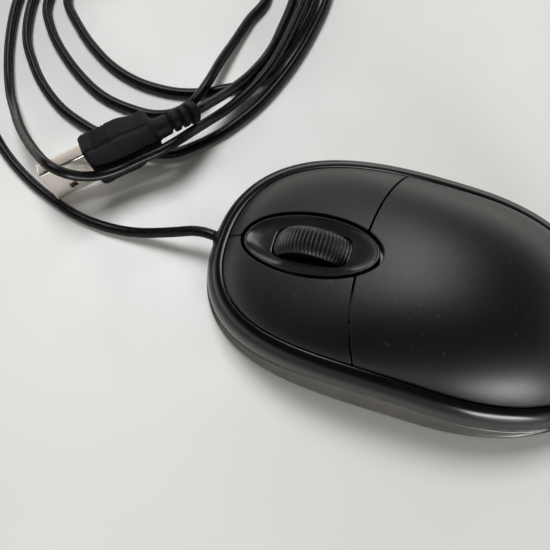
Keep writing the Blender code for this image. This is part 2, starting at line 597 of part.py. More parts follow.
def make_wheel_carrier():
    """The cradle: a frame round the wheel with two bearing ears, a front spring tab and a rear switch tab."""
    carrier = box("wheel_carrier", (-0.0082, 0.0130, CARRIER_LOW), (0.0082, 0.0395, CARRIER_HIGH),
                  MATTE_BLACK)
    low, high = CARRIER_LOW - 0.001, CARRIER_HIGH + 0.001
    cut(carrier, box("carrier_inside", (-0.0057, 0.0144, low), (0.0057, 0.0382, high)))
    for sign in (-1, 1):
        ear = sorted((sign * 0.0060, sign * 0.0080))
        join(carrier, box(f"carrier_ear_{sign}", (ear[0], WHEEL_Y - 0.0027, CARRIER_LOW + 0.0005),
                          (ear[1], WHEEL_Y + 0.0027, WHEEL_Z + 0.0026)))
    tab_top = CARRIER_LOW + 0.0014
    join(carrier, box("carrier_front_tab", (-0.0028, 0.0390, CARRIER_LOW), (0.0028, 0.0423, tab_top)),
         box("carrier_rear_tab", (-0.0035, 0.0060, CARRIER_LOW), (0.0035, 0.0137, tab_top)))
    return cut(carrier, cylinder("carrier_bore", (-0.0100, WHEEL_Y, WHEEL_Z), (0.0100, WHEEL_Y, WHEEL_Z),
                                 AXLE_RADIUS + 0.0001, sides=32))


def make_carrier_spring():
    low, high = BOARD_SEAT + 0.0003, CARRIER_LOW - 0.0006
    turns, per_turn = 4, 9
    points = []
    for i in range(turns * per_turn + 1):
        turn = 2 * math.pi * i / per_turn
        points.append((0.0017 * math.cos(turn), 0.0405 + 0.0017 * math.sin(turn),
                       low + (high - low) * i / (turns * per_turn)))
    return tube("carrier_spring", points, 0.00025, STEEL, 1)


# ---------------------------------------------------------------- electronics


def make_circuit_board():
    outline = [(-0.0190, -0.0255), (0.0190, -0.0255), (0.0190, 0.0300), (0.0150, 0.0430), (-0.0150, 0.0430),
               (-0.0190, 0.0300)]
    board = prism("circuit_board", outline, BOARD_LOW, BOARD_TOP, BOARD_GREEN)
    cut(board, box("board_wheel_slot", (-0.0050, 0.0168, 0.006), (0.0050, 0.0360, 0.010)),
        cylinder("board_lens_hole", (0, SENSOR_Y, 0.006), (0, SENSOR_Y, 0.010), 0.0029, sides=20))
    for sign in (-1, 1):
        cut(board, cylinder(f"board_screw_hole_{sign}", (sign * BOARD_SCREW_X, BOARD_SCREW_Y, 0.006),
                            (sign * BOARD_SCREW_X, BOARD_SCREW_Y, 0.010), 0.0014, sides=14))
        side = "right" if sign > 0 else "left"
        name = f"board_screw_{side}"
        head = BOARD_SEAT + 0.0014
        screw = cylinder(name, (sign * BOARD_SCREW_X, BOARD_SCREW_Y, BOARD_SEAT),
                         (sign * BOARD_SCREW_X, BOARD_SCREW_Y, head), 0.0022, STEEL, 16)
        join(screw, cylinder(name + "_shank", (sign * BOARD_SCREW_X, BOARD_SCREW_Y, 0.0036),
                             (sign * BOARD_SCREW_X, BOARD_SCREW_Y, BOARD_SEAT + 0.0006), 0.0010, sides=12))
        cross_slot(screw, name, (sign * BOARD_SCREW_X, BOARD_SCREW_Y, head))
    return board


def make_switch(name, centre, size, plunger_at, plunger_radius, height, rise, finish):
    """A small push switch and the plunger that stands in its top."""
    x, y = centre
    half_x, half_y = size[0] / 2, size[1] / 2
    body = box(name, (x - half_x, y - half_y, BOARD_SEAT), (x + half_x, y + half_y, height), finish)
    cut(body, upright(name + "_well", plunger_at, height - 0.0022, height + 0.001, plunger_radius + 0.0003,
                      sides=16))
    upright(name + "_plunger", plunger_at, height - 0.0014, height + rise, plunger_radius, PLASTIC_RED, 16)
    return body


def make_electronics():
    make_circuit_board()
    for side, sign in (("left", -1), ("right", 1)):
        make_switch(side + "_switch", (sign * KEY_PEG_X, 0.0357), (0.0058, 0.0094),
                    (sign * KEY_PEG_X, KEY_PEG_Y), 0.0010, 0.0145, 0.0012, PLASTIC_WHITE)
    make_switch("middle_switch", (0, 0.0090), (0.0060, 0.0060), (0, 0.0090), 0.0016, 0.0122, 0.0010, STEEL)
    box("encoder_emitter", (0.0086, WHEEL_Y - 0.0022, BOARD_SEAT), (0.0108, WHEEL_Y + 0.0022, 0.0145),
        PLASTIC_CLEAR, 0.0004)
    box("encoder_receiver", (0.0124, WHEEL_Y - 0.0022, BOARD_SEAT), (0.0146, WHEEL_Y + 0.0022, 0.0145),
        MATTE_BLACK, 0.0004)
    box("sensor_chip", (-0.0049, SENSOR_Y - 0.0062, BOARD_SEAT), (0.0049, SENSOR_Y + 0.0062, 0.0117),
        MATTE_BLACK, 0.0003)
    lens = box("sensor_lens", (-0.0055, SENSOR_Y - 0.0090, 0.0036), (0.0055, SENSOR_Y + 0.0090, 0.0066),
               PLASTIC_CLEAR, 0.0005)
    join(lens, cylinder("lens_dome", (0, SENSOR_Y, 0.0020), (0, SENSOR_Y, 0.0045), 0.0024, sides=20))
    clip = box("led_clip", (-0.0036, LED_Y - 0.0030, BOARD_SEAT), (0.0036, LED_Y + 0.0032, 0.0157),
               MATTE_BLACK)
    cut(clip, cylinder("led_clip_hole", (0, LED_Y - 0.006, LED_Z), (0, LED_Y + 0.006, LED_Z), 0.0028))
    led = cylinder("led", (0, LED_Y - 0.0044, LED_Z), (0, LED_Y + 0.0020, LED_Z), 0.0025, PLASTIC_RED, 20)
    bpy.ops.mesh.primitive_uv_sphere_add(segments=20, ring_count=10, radius=0.0025,
                                         location=(0, LED_Y + 0.0020, LED_Z),
                                         rotation=(math.radians(90), 0, 0))
    dome = bpy.context.object
    dome.name = "led_dome"
    rim = cylinder("led_rim", (0, LED_Y - 0.0054, LED_Z), (0, LED_Y - 0.0042, LED_Z), 0.0029)
    join(led, keep(dome, None), rim)
    smooth(lens)
    smooth(led)
    for name, x, y, radius, height in (("capacitor_large", 0.0130, -0.0120, 0.0026, 0.0155),
                                       ("capacitor_small", -0.0135, -0.0150, 0.0020, 0.0140)):
        can = cylinder(name, (x, y, BOARD_SEAT), (x, y, height), radius, SATIN_BLACK, 20)
        rounding = can.modifiers.new("rounding", "BEVEL")
        rounding.width = 0.0003
        rounding.segments = 2
        rounding.limit_method = "ANGLE"
        smooth(can)
    box("resonator", (-0.0155, -0.0065, BOARD_SEAT), (-0.0095, -0.0035, 0.0125), STEEL, 0.0008)
    socket = box("cable_socket", (0.0046, 0.0400, BOARD_SEAT), (0.0104, 0.0429, 0.0118), PLASTIC_WHITE)
    cut(socket, box("cable_socket_well", (0.0051, 0.0405, 0.0092), (0.0099, 0.0424, 0.0130)))
    housing = box("cable_plug_housing", (0.0054, 0.0408, 0.0095), (0.0096, 0.0421, 0.0122), PLASTIC_WHITE)
    join(housing, box("cable_plug_top", (0.0050, 0.0401, 0.0121), (0.0100, 0.0427, 0.0138)))
    tube("inner_lead", smooth_route([(0.2, 48.1, 7.6), (1.0, 46.9, 8.4), (3.6, 46.0, 10.4), (6.2, 45.5, 11.9),
                                     (7.5, 44.6, 12.6), (7.5, 43.9, 12.8)], 12), 0.0010, CORD_BLACK, 1)


# ---------------------------------------------------------------- cord and plug


def smooth_route(route, count):
    """Points in metres on a smooth curve through a route in millimetres, closer where it bends more."""
    way = [Vector(point) / 1000 for point in route]
    way = [way[0] * 2 - way[1]] + way + [way[-1] * 2 - way[-2]]
    fine = []
    for a, b, c, d in zip(way, way[1:], way[2:], way[3:]):
        knots = [0.0]
        for one, other in ((a, b), (b, c), (c, d)):
            knots.append(knots[-1] + max((other - one).length, 1e-6) ** 0.5)
        for step in range(12):
            t = knots[1] + (knots[2] - knots[1]) * step / 12
            ab = a.lerp(b, t / knots[1])
            bc = b.lerp(c, (t - knots[1]) / (knots[2] - knots[1]))
            cd = c.lerp(d, (t - knots[2]) / (knots[3] - knots[2]))
            abc = ab.lerp(bc, t / knots[2])
            bcd = bc.lerp(cd, (t - knots[1]) / (knots[3] - knots[1]))
            fine.append(abc.lerp(bcd, (t - knots[1]) / (knots[2] - knots[1])))
    fine.append(way[-2])
    fine = np.array(fine)
    steps = np.diff(fine, axis=0)
    lengths = np.linalg.norm(steps, axis=1)
    bends = np.linalg.norm(np.diff(steps / lengths[:, None], axis=0), axis=1) / lengths[1:]
    bends = np.convolve(np.append(bends, bends[-1]), np.ones(15) / 15, "same")
    effort = np.concatenate([[0.0], np.cumsum(lengths * (3.0 + bends**0.5))])
    wanted = np.linspace(0.0, effort[-1], count)
    return [tuple(float(np.interp(w, effort, fine[:, k])) for k in range(3)) for w in wanted]


def plug_matrix():
    """The plug's own frame: +X out of its mouth, +Y through its wide face, +Z through its narrow one."""
    turn = (Matrix.Rotation(PLUG_YAW, 4, "Z") @ Matrix.Rotation(-PLUG_PITCH, 4, "Y")
            @ Matrix.Rotation(PLUG_ROLL, 4, "X"))
    return Matrix.Translation(PLUG_FRONT) @ turn


def plug_ring(x, half_width, half_thickness, count=24, square=5.0):
    points = []
    for i in range(count):
        turn = 2 * math.pi * i / count
        side, up = math.cos(turn), math.sin(turn)
        points.append((x, math.copysign(half_thickness * abs(side) ** (2 / square), side),
                       math.copysign(half_width * abs(up) ** (2 / square), up)))
    return points


def relief_point(share):
    """A point on the middle of the bent strain relief. Share 0 is at the overmold."""
    x = -SHELL_VISIBLE - OVERMOLD_LENGTH - RELIEF_LENGTH * share
    return Vector((x, RELIEF_BEND[0] * share**2, RELIEF_BEND[1] * share**2))


def relief_ring(share, radius):
    middle = relief_point(share)
    lean = [2 * bend * share / RELIEF_LENGTH for bend in RELIEF_BEND]
    return [(x + lean[0] * y + lean[1] * z, y + middle.y, z + middle.z)
            for x, y, z in plug_ring(middle.x, radius, radius, square=2.0)]


def place_plug_piece(obj):
    obj.data.transform(plug_matrix())
    return obj


def make_plug():
    back = -SHELL_VISIBLE
    tail = back - OVERMOLD_LENGTH
    half_w, half_t = OVERMOLD_WIDTH / 2, OVERMOLD_THICKNESS / 2
    rings = [plug_ring(back, half_w - 0.0004, half_t - 0.0004), plug_ring(back - 0.0005, half_w, half_t),
             plug_ring(back - 0.0150, half_w, half_t),
             plug_ring(back - 0.0180, half_w * 0.86, half_t, square=3.5),
             plug_ring(tail, 0.0036, 0.0030, square=2.4), relief_ring(0.1, 0.0025)]
    for start in (0.38, 0.66):
        rings += [relief_ring(start, 0.0023), relief_ring(start + 0.01, 0.0029),
                  relief_ring(start + 0.15, 0.0029), relief_ring(start + 0.16, 0.0023)]
    rings.append(relief_ring(1.0, 0.0021))
    overmold = loft("plug_overmold", rings, CORD_BLACK)
    cut(overmold, box("overmold_socket", (back - 0.0050, -SHELL_THICKNESS / 2 - GAP, -SHELL_WIDTH / 2 - GAP),
                      (back + 0.0010, SHELL_THICKNESS / 2 + GAP, SHELL_WIDTH / 2 + GAP)))
    shell = box("plug_shell", (back - 0.0046, -SHELL_THICKNESS / 2, -SHELL_WIDTH / 2),
                (0.0, SHELL_THICKNESS / 2, SHELL_WIDTH / 2), STEEL)
    inner = SHELL_THICKNESS / 2 - SHELL_SHEET, SHELL_WIDTH / 2 - SHELL_SHEET
    cut(shell, box("shell_hollow", (back - 0.0060, -inner[0], -inner[1]), (0.0010, inner[0], inner[1])))
    for face in (-1, 1):
        for across in (-1, 1):
            middle = across * 0.00285
            face_y = sorted((face * 0.0016, face * 0.0030))
            cut(shell, box(f"shell_window_{face}_{across}", (-0.0074, face_y[0], middle - 0.00105),
                           (-0.0052, face_y[1], middle + 0.00105)))
    tongue = box("plug_tongue", (back - 0.0040, GAP - inner[0], GAP - inner[1]),
                 (-0.0006, -0.0001, inner[1] - GAP), PLASTIC_WHITE)
    comb = [(back - 0.0040, -0.0042), (back - 0.0040, 0.0042), (back - 0.0030, 0.0042)]
    for middle, tip in ((0.0035, -0.0018), (0.0010, -0.0028), (-0.0010, -0.0028), (-0.0035, -0.0018)):
        comb += [(back - 0.0030, middle + 0.0005), (tip, middle + 0.0005), (tip, middle - 0.0005),
                 (back - 0.0030, middle - 0.0005)]
    comb.append((back - 0.0030, -0.0042))
    contacts = prism("plug_contacts", comb, -0.0005, -0.0002, GOLD)
    contacts.data.transform(Matrix.Rotation(math.radians(90), 4, "X"))
    for piece in (overmold, shell, tongue, contacts):
        place_plug_piece(piece)
        for change in piece.modifiers:
            place_plug_piece(change.object)
    smooth(overmold)


def make_cord():
    behind = [relief_point(1.0 + step * GAP / RELIEF_LENGTH) for step in (5, 1)]
    route = ROUTE + [tuple(plug_matrix() @ point * 1000) for point in behind]
    tube("cord", smooth_route(route, CORD_POINTS), CORD_DIAMETER / 2, CORD_BLACK)


make_base_shell()
make_feet()
make_frame_band()
make_grommet()
make_palm_cover()
make_key("left", -1)
make_key("right", 1)
make_wheel_bezel()
make_case_screw()
make_wheel()
make_wheel_carrier()
make_carrier_spring()
make_electronics()
make_plug()
make_cord()
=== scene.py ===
"""The looks of a wired optical computer mouse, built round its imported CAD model.

Metres, in the CAD model's frame: +Z up, +Y the mouse's nose, +X its right.
"""

import json
import math

import bmesh
import bpy
import numpy as np
from mathutils import Euler, Matrix, Vector
from mathutils.geometry import delaunay_2d_cdt
from mathutils.kdtree import KDTree

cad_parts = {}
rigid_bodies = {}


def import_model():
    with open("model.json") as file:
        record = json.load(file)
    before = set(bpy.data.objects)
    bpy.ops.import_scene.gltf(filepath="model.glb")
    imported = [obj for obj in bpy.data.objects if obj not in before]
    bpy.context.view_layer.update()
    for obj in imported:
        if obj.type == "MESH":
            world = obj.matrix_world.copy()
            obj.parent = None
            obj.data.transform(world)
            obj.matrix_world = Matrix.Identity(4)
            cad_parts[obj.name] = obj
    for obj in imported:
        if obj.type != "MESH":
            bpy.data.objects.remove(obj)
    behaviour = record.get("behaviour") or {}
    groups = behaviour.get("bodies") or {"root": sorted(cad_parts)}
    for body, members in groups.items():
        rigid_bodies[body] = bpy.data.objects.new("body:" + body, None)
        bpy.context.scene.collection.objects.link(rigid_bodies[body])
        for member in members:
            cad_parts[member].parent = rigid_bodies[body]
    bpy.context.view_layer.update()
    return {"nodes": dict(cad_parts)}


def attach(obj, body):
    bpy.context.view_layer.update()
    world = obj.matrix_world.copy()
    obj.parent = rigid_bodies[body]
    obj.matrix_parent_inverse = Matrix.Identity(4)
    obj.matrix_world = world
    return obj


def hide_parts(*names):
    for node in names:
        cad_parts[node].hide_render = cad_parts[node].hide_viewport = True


for old in list(bpy.data.objects):
    bpy.data.objects.remove(old, do_unlink=True)
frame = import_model()

# ---------------------------------------------------------------- camera

camera_data = bpy.data.cameras.new("camera")
camera_data.lens = 59.96
camera_data.clip_start = 0.01
camera = bpy.data.objects.new("camera", camera_data)
camera.location = (-0.07883, 0.00734, 0.23400)
camera.rotation_euler = Euler((0.337412, 0.023562, -1.263299), "XYZ")
bpy.context.scene.collection.objects.link(camera)
bpy.context.scene.camera = camera

# ---------------------------------------------------------------- sizes shared with the CAD model

SEAM_HALF_WIDTH, SEAM_NOSE_Y, SEAM_TAIL_Y, WIDEST_Y = 0.0259, 0.0504, -0.0508, -0.008
NOSE_POWERS, TAIL_POWERS = (4.0, 2.3), (2.2, 2.0)
GAP = 0.0003
SEAM_HEIGHT, SEAM_RISE, SEAM_FALL = 0.022, 0.0018, 0.0105
CROWN_MEAN, CROWN_SWING, CROWN_Y, CROWN_WAVE = 0.0077, 0.0041, 0.009, 0.152
CROWN_POWER_SIDE, CROWN_POWER_NOSE, CROWN_POWER_TAIL, CROWN_ROUNDING = 2.4, 12.0, 5.0, 0.7
BAND_OUT, BAND_WAIST, BASE_OUT, NOSE_FLARE = 0.0041, 0.0015, 0.0046, 0.12
BASE_BOTTOM, BASE_FLOOR = 0.0006, 0.0024
WALL_LOW, WALL_RISE, WALL_MID_Y, WALL_REACH = 0.0027, 0.0061, 0.004, 0.046
FOOT_LENGTH, FOOT_WIDTH, FOOT_PLAY = 0.011, 0.0046, 0.0004
FOOT_X, FOOT_Y, FOOT_TURN = 0.0115, 0.0375, 28
KEY_REAR_Y, KEY_REAR_FALL, KEY_REAR_POWER = 0.0156, 0.0049, 2.6
KEY_GAP = 0.0005
KEY_HINGE_Y = 0.003
TONGUE_X, TONGUE_FRONT_Y, TONGUE_DEPTH, TONGUE_THICKNESS = (0.0085, 0.0165), 0.0200, 0.0012, 0.0012
KEY_PEG_X, KEY_PEG_Y, PEG_RADIUS, PEG_BOTTOM, PEG_DEPTH = 0.0138, 0.0385, 0.0014, 0.0160, 0.0006
BEZEL_Y, BEZEL_HALF_LENGTH, BEZEL_HALF_WIDTH = 0.02854, 0.01735, 0.00785
OPENING_CLEARANCE, BEZEL_SUNK = 0.0008, 0.00022
SLOT_Y, SLOT_HALF_LENGTH, SLOT_HALF_WIDTH, DISH_DEPTH = 0.0281, 0.0098, 0.0045, 0.0015
WHEEL_Y, WHEEL_Z, WHEEL_RADIUS, WHEEL_HALF_WIDTH, TYRE_BORE = 0.02635, 0.0172, 0.0114, 0.0037, 0.0096
RIBS, STEPS_PER_RIB, RIB_DEPTH, TREAD_FALL = 66, 10, 0.00052, 0.0014
BOARD_LOW = 0.0070
SENSOR_Y, CASE_SCREW_Y = -0.008, -0.040
BOSS_RADIUS, BOSS_BORE, BOSS_LOW, BOSS_MIDDLE, BOSS_DEPTH = 0.0032, 0.0015, 0.0094, 0.0160, 0.0008
BOARD_SCREW_X, BOARD_SCREW_Y = 0.016, 0.003
BOARD_PIN_X, BOARD_PIN_Y = 0.0155, -0.0215
NOTCH_HALF_WIDTH, NOTCH_TOP = 0.00245, 0.0092
CORD_DIAMETER = 0.0028
PLUG_FRONT = (0.0021, 0.1038, 0.0083)
PLUG_YAW, PLUG_PITCH, PLUG_ROLL = math.radians(131.5), math.radians(-8.4), math.radians(14.0)
SHELL_VISIBLE, SHELL_WIDTH, SHELL_THICKNESS, SHELL_SHEET = 0.0138, 0.0120, 0.0045, 0.0003
OVERMOLD_LENGTH, OVERMOLD_WIDTH, OVERMOLD_THICKNESS = 0.0200, 0.0156, 0.0072
GRIP_START, GRIP_LENGTH, GRIP_GROOVES, GRIP_DEPTH = 0.0026, 0.0050, 6, 0.00032
RELIEF_LENGTH, RELIEF_BEND = 0.0110, (-0.0020, -0.0022)

# The cord's route in millimetres: out of the nose, then five loose turns. The first turn comes back under
# the plug and the second comes back over it.
LEAD = [(0.5, 55.0, 9.3), (0.7, 57.6, 9.1), (0.5, 61.0, 8.3), (-0.4, 65.0, 6.9), (-1.4, 70.2, 4.8),
        (-2.4, 76.0, 2.9), (-3.0, 82.0, 1.9), (-3.0, 88.5, 1.5), (-2.2, 95.0, 1.5), (-0.3, 101.5, 1.5),
        (4.0, 112.0, 1.5), (10.5, 122.5, 1.5)]
TURN_1 = [(20, 132.5, 1.5), (32, 141, 1.5), (48, 146, 1.5), (66, 147, 1.5), (83, 142.5, 1.5), (99, 131, 1.5),
          (110, 114.5, 1.5), (115.5, 96, 1.5), (116, 77, 1.5), (111.5, 60.5, 1.5), (102, 51, 1.5)]
UNDER_PLUG = [(85, 48.9, 1.5), (75, 49.6, 1.5), (65, 51.2, 1.5), (55.5, 53.7, 1.5), (46, 57.3, 1.5),
              (39, 61.2, 1.5), (33.3, 65.2, 1.5), (28, 70.3, 1.5), (23.6, 76, 1.5), (22, 81.5, 1.5),
              (21.9, 87.5, 1.5), (22.8, 95, 1.5), (24.5, 102.8, 1.5), (28, 112, 1.5)]
TURN_2 = [(34, 120.4, 1.5), (39.4, 125.5, 1.5), (47, 130.7, 1.5), (59.5, 134.1, 1.5), (72, 133.8, 1.5),
          (85, 129, 1.5), (96.5, 118.5, 1.5), (104, 104.5, 1.5), (107.3, 89, 1.5), (106.3, 74.5, 1.5),
          (101, 63, 1.7), (92, 56.4, 3.0)]
OVER_PLUG = [(81.5, 54.8, 4.1), (73.5, 55.2, 4.3), (65, 56.0, 4.4), (58, 57.1, 4.7), (51, 59.2, 4.8),
             (45, 61.9, 4.9), (39.5, 64.7, 5.4), (35.0, 67.2, 6.6), (30.8, 69.2, 8.5), (26.6, 71.0, 10.6),
             (22.2, 73.4, 12), (18.5, 76.4, 12.2), (14.8, 80.8, 11.6), (10.7, 85.4, 10.9), (7.1, 89.6, 11.7),
             (4.5, 93.4, 14), (3.1, 97.0, 16.7), (3.5, 101.2, 17.7), (6.4, 106.3, 15.8), (11.2, 112.5, 11.8),
             (16.6, 118.4, 7.5), (21.8, 123, 4.3)]
TURN_3 = [(27.8, 127.7, 2.1), (37.9, 132.8, 1.5), (48, 136.3, 1.5), (59, 138.6, 1.5), (72, 138.4, 1.5),
          (86, 134, 1.5), (98.5, 123.5, 1.5), (107.3, 109, 1.5), (111.5, 93, 1.5), (111.2, 77, 1.5),
          (106, 63, 1.5), (97, 54.6, 1.5)]
CROSS_1 = [(84.5, 52.4, 1.5), (76, 52.9, 1.5), (69, 54.2, 1.5), (63, 55.8, 1.5), (57.8, 57.3, 1.5),
           (53.5, 60.2, 1.5), (50, 64.2, 1.5), (47.3, 69, 1.5), (44.4, 74.5, 1.5), (42.5, 81, 1.5),
           (42, 87, 1.5), (42.5, 94, 1.5), (45.2, 102.7, 1.5), (50.5, 111.5, 1.5)]
TURN_4 = [(56, 118, 1.5), (62.7, 123.9, 1.5), (71, 125, 1.5), (80, 120.8, 1.5), (88, 112, 1.5),
          (94, 101, 1.5), (97, 89.5, 1.5), (96, 78.5, 1.5), (90, 69, 1.5)]
BESIDE_PLUG = [(80.2, 66.4, 1.5), (72, 68.9, 1.7), (63, 70.6, 2.4), (55, 71.9, 3.8), (46, 73.0, 4.9),
               (40, 75.0, 4.1), (35.6, 79.3, 2.5), (33.6, 85.2, 1.6), (33.4, 92, 1.5), (35, 101.5, 1.5)]
TURN_5 = [(39.5, 110.5, 1.5), (46.5, 119.7, 1.5), (52, 124.9, 1.5), (59, 129.1, 1.5), (70, 129.4, 1.5),
          (82, 125, 1.5), (92.5, 115.5, 1.5), (99.8, 103, 1.5), (103, 89, 1.5), (102, 76, 1.5),
          (97, 65.5, 1.5), (89.5, 59.8, 1.5)]
HOMEWARD = [(81.3, 58.5, 1.5), (72, 58.8, 1.6), (65.5, 59.2, 1.9), (60.5, 59.9, 2.9), (56, 60.9, 4.1),
            (51.5, 62.4, 5.0), (47.0, 64.4, 6.1), (43.2, 66.1, 7.4), (39.5, 67.8, 9.1), (36.2, 69.4, 10.7)]
ROUTE = (LEAD + TURN_1 + UNDER_PLUG + TURN_2 + OVER_PLUG + TURN_3 + CROSS_1 + TURN_4 + BESIDE_PLUG + TURN_5
         + HOMEWARD)

# ---------------------------------------------------------------- materials


class Finish:
    """A node material whose pattern is set by places on the object, in metres."""

    def __init__(self, name, colour, roughness, metallic=0.0):
        self.material = bpy.data.materials.new(name + "_look")
        self.material.use_nodes = True
        self.material.diffuse_color = (*colour, 1.0)
        self.tree = self.material.node_tree
        self.shader = self.tree.nodes["Principled BSDF"]
        self.shader.inputs["Metallic"].default_value = metallic
        self.shader.inputs["Base Color"].default_value = (*colour, 1.0)
        self.shader.inputs["Roughness"].default_value = roughness
        self.colour, self.roughness = colour, roughness
        self.places = self.tree.nodes.new("ShaderNodeTexCoord").outputs["Object"]

    def noise(self, size, detail=3.0, stretch=None):
        """Noise whose blotches are about that size."""
        places = self.places
        if stretch:
            mapping = self.tree.nodes.new("ShaderNodeMapping")
            mapping.inputs["Scale"].default_value = stretch
            self.tree.links.new(places, mapping.inputs["Vector"])
            places = mapping.outputs["Vector"]
        made = self.tree.nodes.new("ShaderNodeTexNoise")
        made.inputs["Scale"].default_value = 1.0 / size
        made.inputs["Detail"].default_value = detail
        self.tree.links.new(places, made.inputs["Vector"])
        return made.outputs["Fac"]

    def ranged(self, value, low, high, start=0.3, end=0.7):
        made = self.tree.nodes.new("ShaderNodeMapRange")
        made.inputs["From Min"].default_value = start
        made.inputs["From Max"].default_value = end
        made.inputs["To Min"].default_value = low
        made.inputs["To Max"].default_value = high
        self.tree.links.new(value, made.inputs["Value"])
        return made.outputs["Result"]

    def mixed(self, factor, one, other):
        made = self.tree.nodes.new("ShaderNodeMix")
        made.data_type = "RGBA"
        self.tree.links.new(factor, made.inputs["Factor"])
        for socket, colour in ((made.inputs["A"], one), (made.inputs["B"], other)):
            if isinstance(colour, tuple):
                socket.default_value = (*colour, 1.0)
            else:
                self.tree.links.new(colour, socket)
        return made.outputs["Result"]

    def mottle(self, size, swing):
        """Slow changes of colour, as moulded or worn surfaces have."""
        pale = tuple(min(1.0, c * (1 + swing)) for c in self.colour)
        deep = tuple(c * (1 - swing) for c in self.colour)
        share = self.ranged(self.noise(size), 0.0, 1.0)
        self.tree.links.new(self.mixed(share, deep, pale), self.shader.inputs["Base Color"])
        return self

    def handled(self, size, swing, stretch=None):
        """Roughness that changes from place to place."""
        low, high = self.roughness - swing, self.roughness + swing
        changing = self.ranged(self.noise(size, 4.0, stretch), low, high)
        self.tree.links.new(changing, self.shader.inputs["Roughness"])
        return self

    def grained(self, size, depth, stretch=None, detail=2.0):
        """A fine relief."""
        bump = self.tree.nodes.new("ShaderNodeBump")
        bump.inputs["Distance"].default_value = depth
        bump.inputs["Strength"].default_value = 1.0
        self.tree.links.new(self.noise(size, detail, stretch), bump.inputs["Height"])
        self.tree.links.new(bump.outputs["Normal"], self.shader.inputs["Normal"])
        return self

    def dusted(self, size, share, colour):
        """Sparse pale specks over the colour."""
        link = self.shader.inputs["Base Color"].links
        under = link[0].from_socket if link else self.colour
        specks = self.ranged(self.noise(size, 1.0), 0.0, share, 0.70, 0.78)
        self.tree.links.new(self.mixed(specks, under, colour), self.shader.inputs["Base Color"])
        return self

    def dull(self, level):
        """A weaker sheen than the usual 0.5."""
        self.shader.inputs["Specular IOR Level"].default_value = level
        return self

    def clear(self, share):
        """See-through to that share."""
        self.shader.inputs["Transmission Weight"].default_value = share
        return self


FINISHES = {
    "matte_black_abs": Finish("matte_black_abs", (0.0028, 0.0028, 0.0029), 0.40)
    .dull(0.31).mottle(0.02, 0.10).handled(0.012, 0.012).grained(0.00026, 0.000030)
    .dusted(0.0016, 0.05, (0.3, 0.3, 0.29)),
    "satin_black_abs": Finish("satin_black_abs", (0.0030, 0.0031, 0.0031), 0.20)
    .dull(0.27).mottle(0.010, 0.15).handled(0.006, 0.02).grained(0.0008, 0.000002),
    "bezel_dark_satin": Finish("bezel_dark_satin", (0.018, 0.018, 0.0175), 0.18)
    .dull(0.22).mottle(0.006, 0.12).handled(0.002, 0.05).grained(0.0004, 0.000004),
    "wheel_rubber": Finish("wheel_rubber", (0.008, 0.008, 0.0078), 0.40)
    .dull(0.35).mottle(0.002, 0.3).handled(0.001, 0.08).grained(0.0002, 0.00001),
    "board_green": Finish("board_green", (0.015, 0.10, 0.04), 0.35)
    .mottle(0.0012, 0.25).handled(0.002, 0.1).grained(0.0005, 0.00002, (1.0, 0.15, 1.0)),
    "plastic_white": Finish("plastic_white", (0.74, 0.74, 0.70), 0.42)
    .mottle(0.003, 0.04).handled(0.002, 0.05).grained(0.0003, 0.00001),
    "plastic_red": Finish("plastic_red", (0.50, 0.03, 0.02), 0.35)
    .mottle(0.002, 0.1).handled(0.001, 0.05).grained(0.0003, 0.000006),
    "plastic_clear": Finish("plastic_clear", (0.86, 0.89, 0.91), 0.08)
    .mottle(0.002, 0.02).handled(0.001, 0.03).clear(0.85),
    "steel": Finish("steel", (0.53, 0.49, 0.45), 0.34, 1.0)
    .mottle(0.006, 0.04).handled(0.0012, 0.04, (1.0, 0.2, 1.0)),
    "contact_gold": Finish("contact_gold", (0.80, 0.56, 0.18), 0.28, 1.0)
    .mottle(0.001, 0.08).handled(0.0006, 0.06).grained(0.0002, 0.000003),
    "cord_pvc": Finish("cord_pvc", (0.0042, 0.0043, 0.0046), 0.30)
    .dull(0.17).mottle(0.005, 0.2).handled(0.0015, 0.07).grained(0.0003, 0.000007),
    "slide_pad": Finish("slide_pad", (0.07, 0.07, 0.075), 0.5)
    .mottle(0.002, 0.1).handled(0.001, 0.06).grained(0.0003, 0.00001, (1.0, 0.2, 1.0)),
}
# The tray's colour is a warm grey far lighter than the black plastic: a painted reflection of the table on its leaning
# wall.
TRAY_LOOK_PAINTED_REFLECTION = (Finish("tray_painted_table_reflection", (0.0560, 0.0530, 0.0460), 0.30)
             .dull(0.40).mottle(0.010, 0.15).handled(0.003, 0.04).grained(0.0005, 0.000005)).material
OVERMOLD_LOOK = (Finish("overmold_pvc", (0.0042, 0.0042, 0.0044), 0.55)
                 .dull(0.10).mottle(0.003, 0.15).handled(0.002, 0.06).grained(0.00025, 0.000018)).material
FINISHES = {name: finish.material for name, finish in FINISHES.items()}

for node in frame["nodes"].values():
    for slot in node.material_slots:
        slot.material = FINISHES[slot.material.name.split(".")[0]]

# ---------------------------------------------------------------- helpers

LOOKS = bpy.data.collections.new("looks")
bpy.context.scene.collection.children.link(LOOKS)


def to_object(name, shape, finish=None):
    bmesh.ops.recalc_face_normals(shape, faces=shape.faces)
    mesh = bpy.data.meshes.new(name)
    shape.to_mesh(mesh)
    shape.free()
    obj = bpy.data.objects.new(name, mesh)
    LOOKS.objects.link(obj)
    if finish:
        mesh.materials.append(finish)
    return obj


def smooth(obj, angle=35.0):
    obj.data.shade_smooth()
    obj.data.set_sharp_from_angle(angle=math.radians(angle))
    return obj


def settle(obj, body, slot, *nodes):
    """The piece rides on its body, takes its slot's finish and stands for the CAD nodes."""
    if not obj.data.materials:
        obj.data.materials.append(FINISHES[slot])
    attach(obj, body)
    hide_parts(*nodes)
    return obj


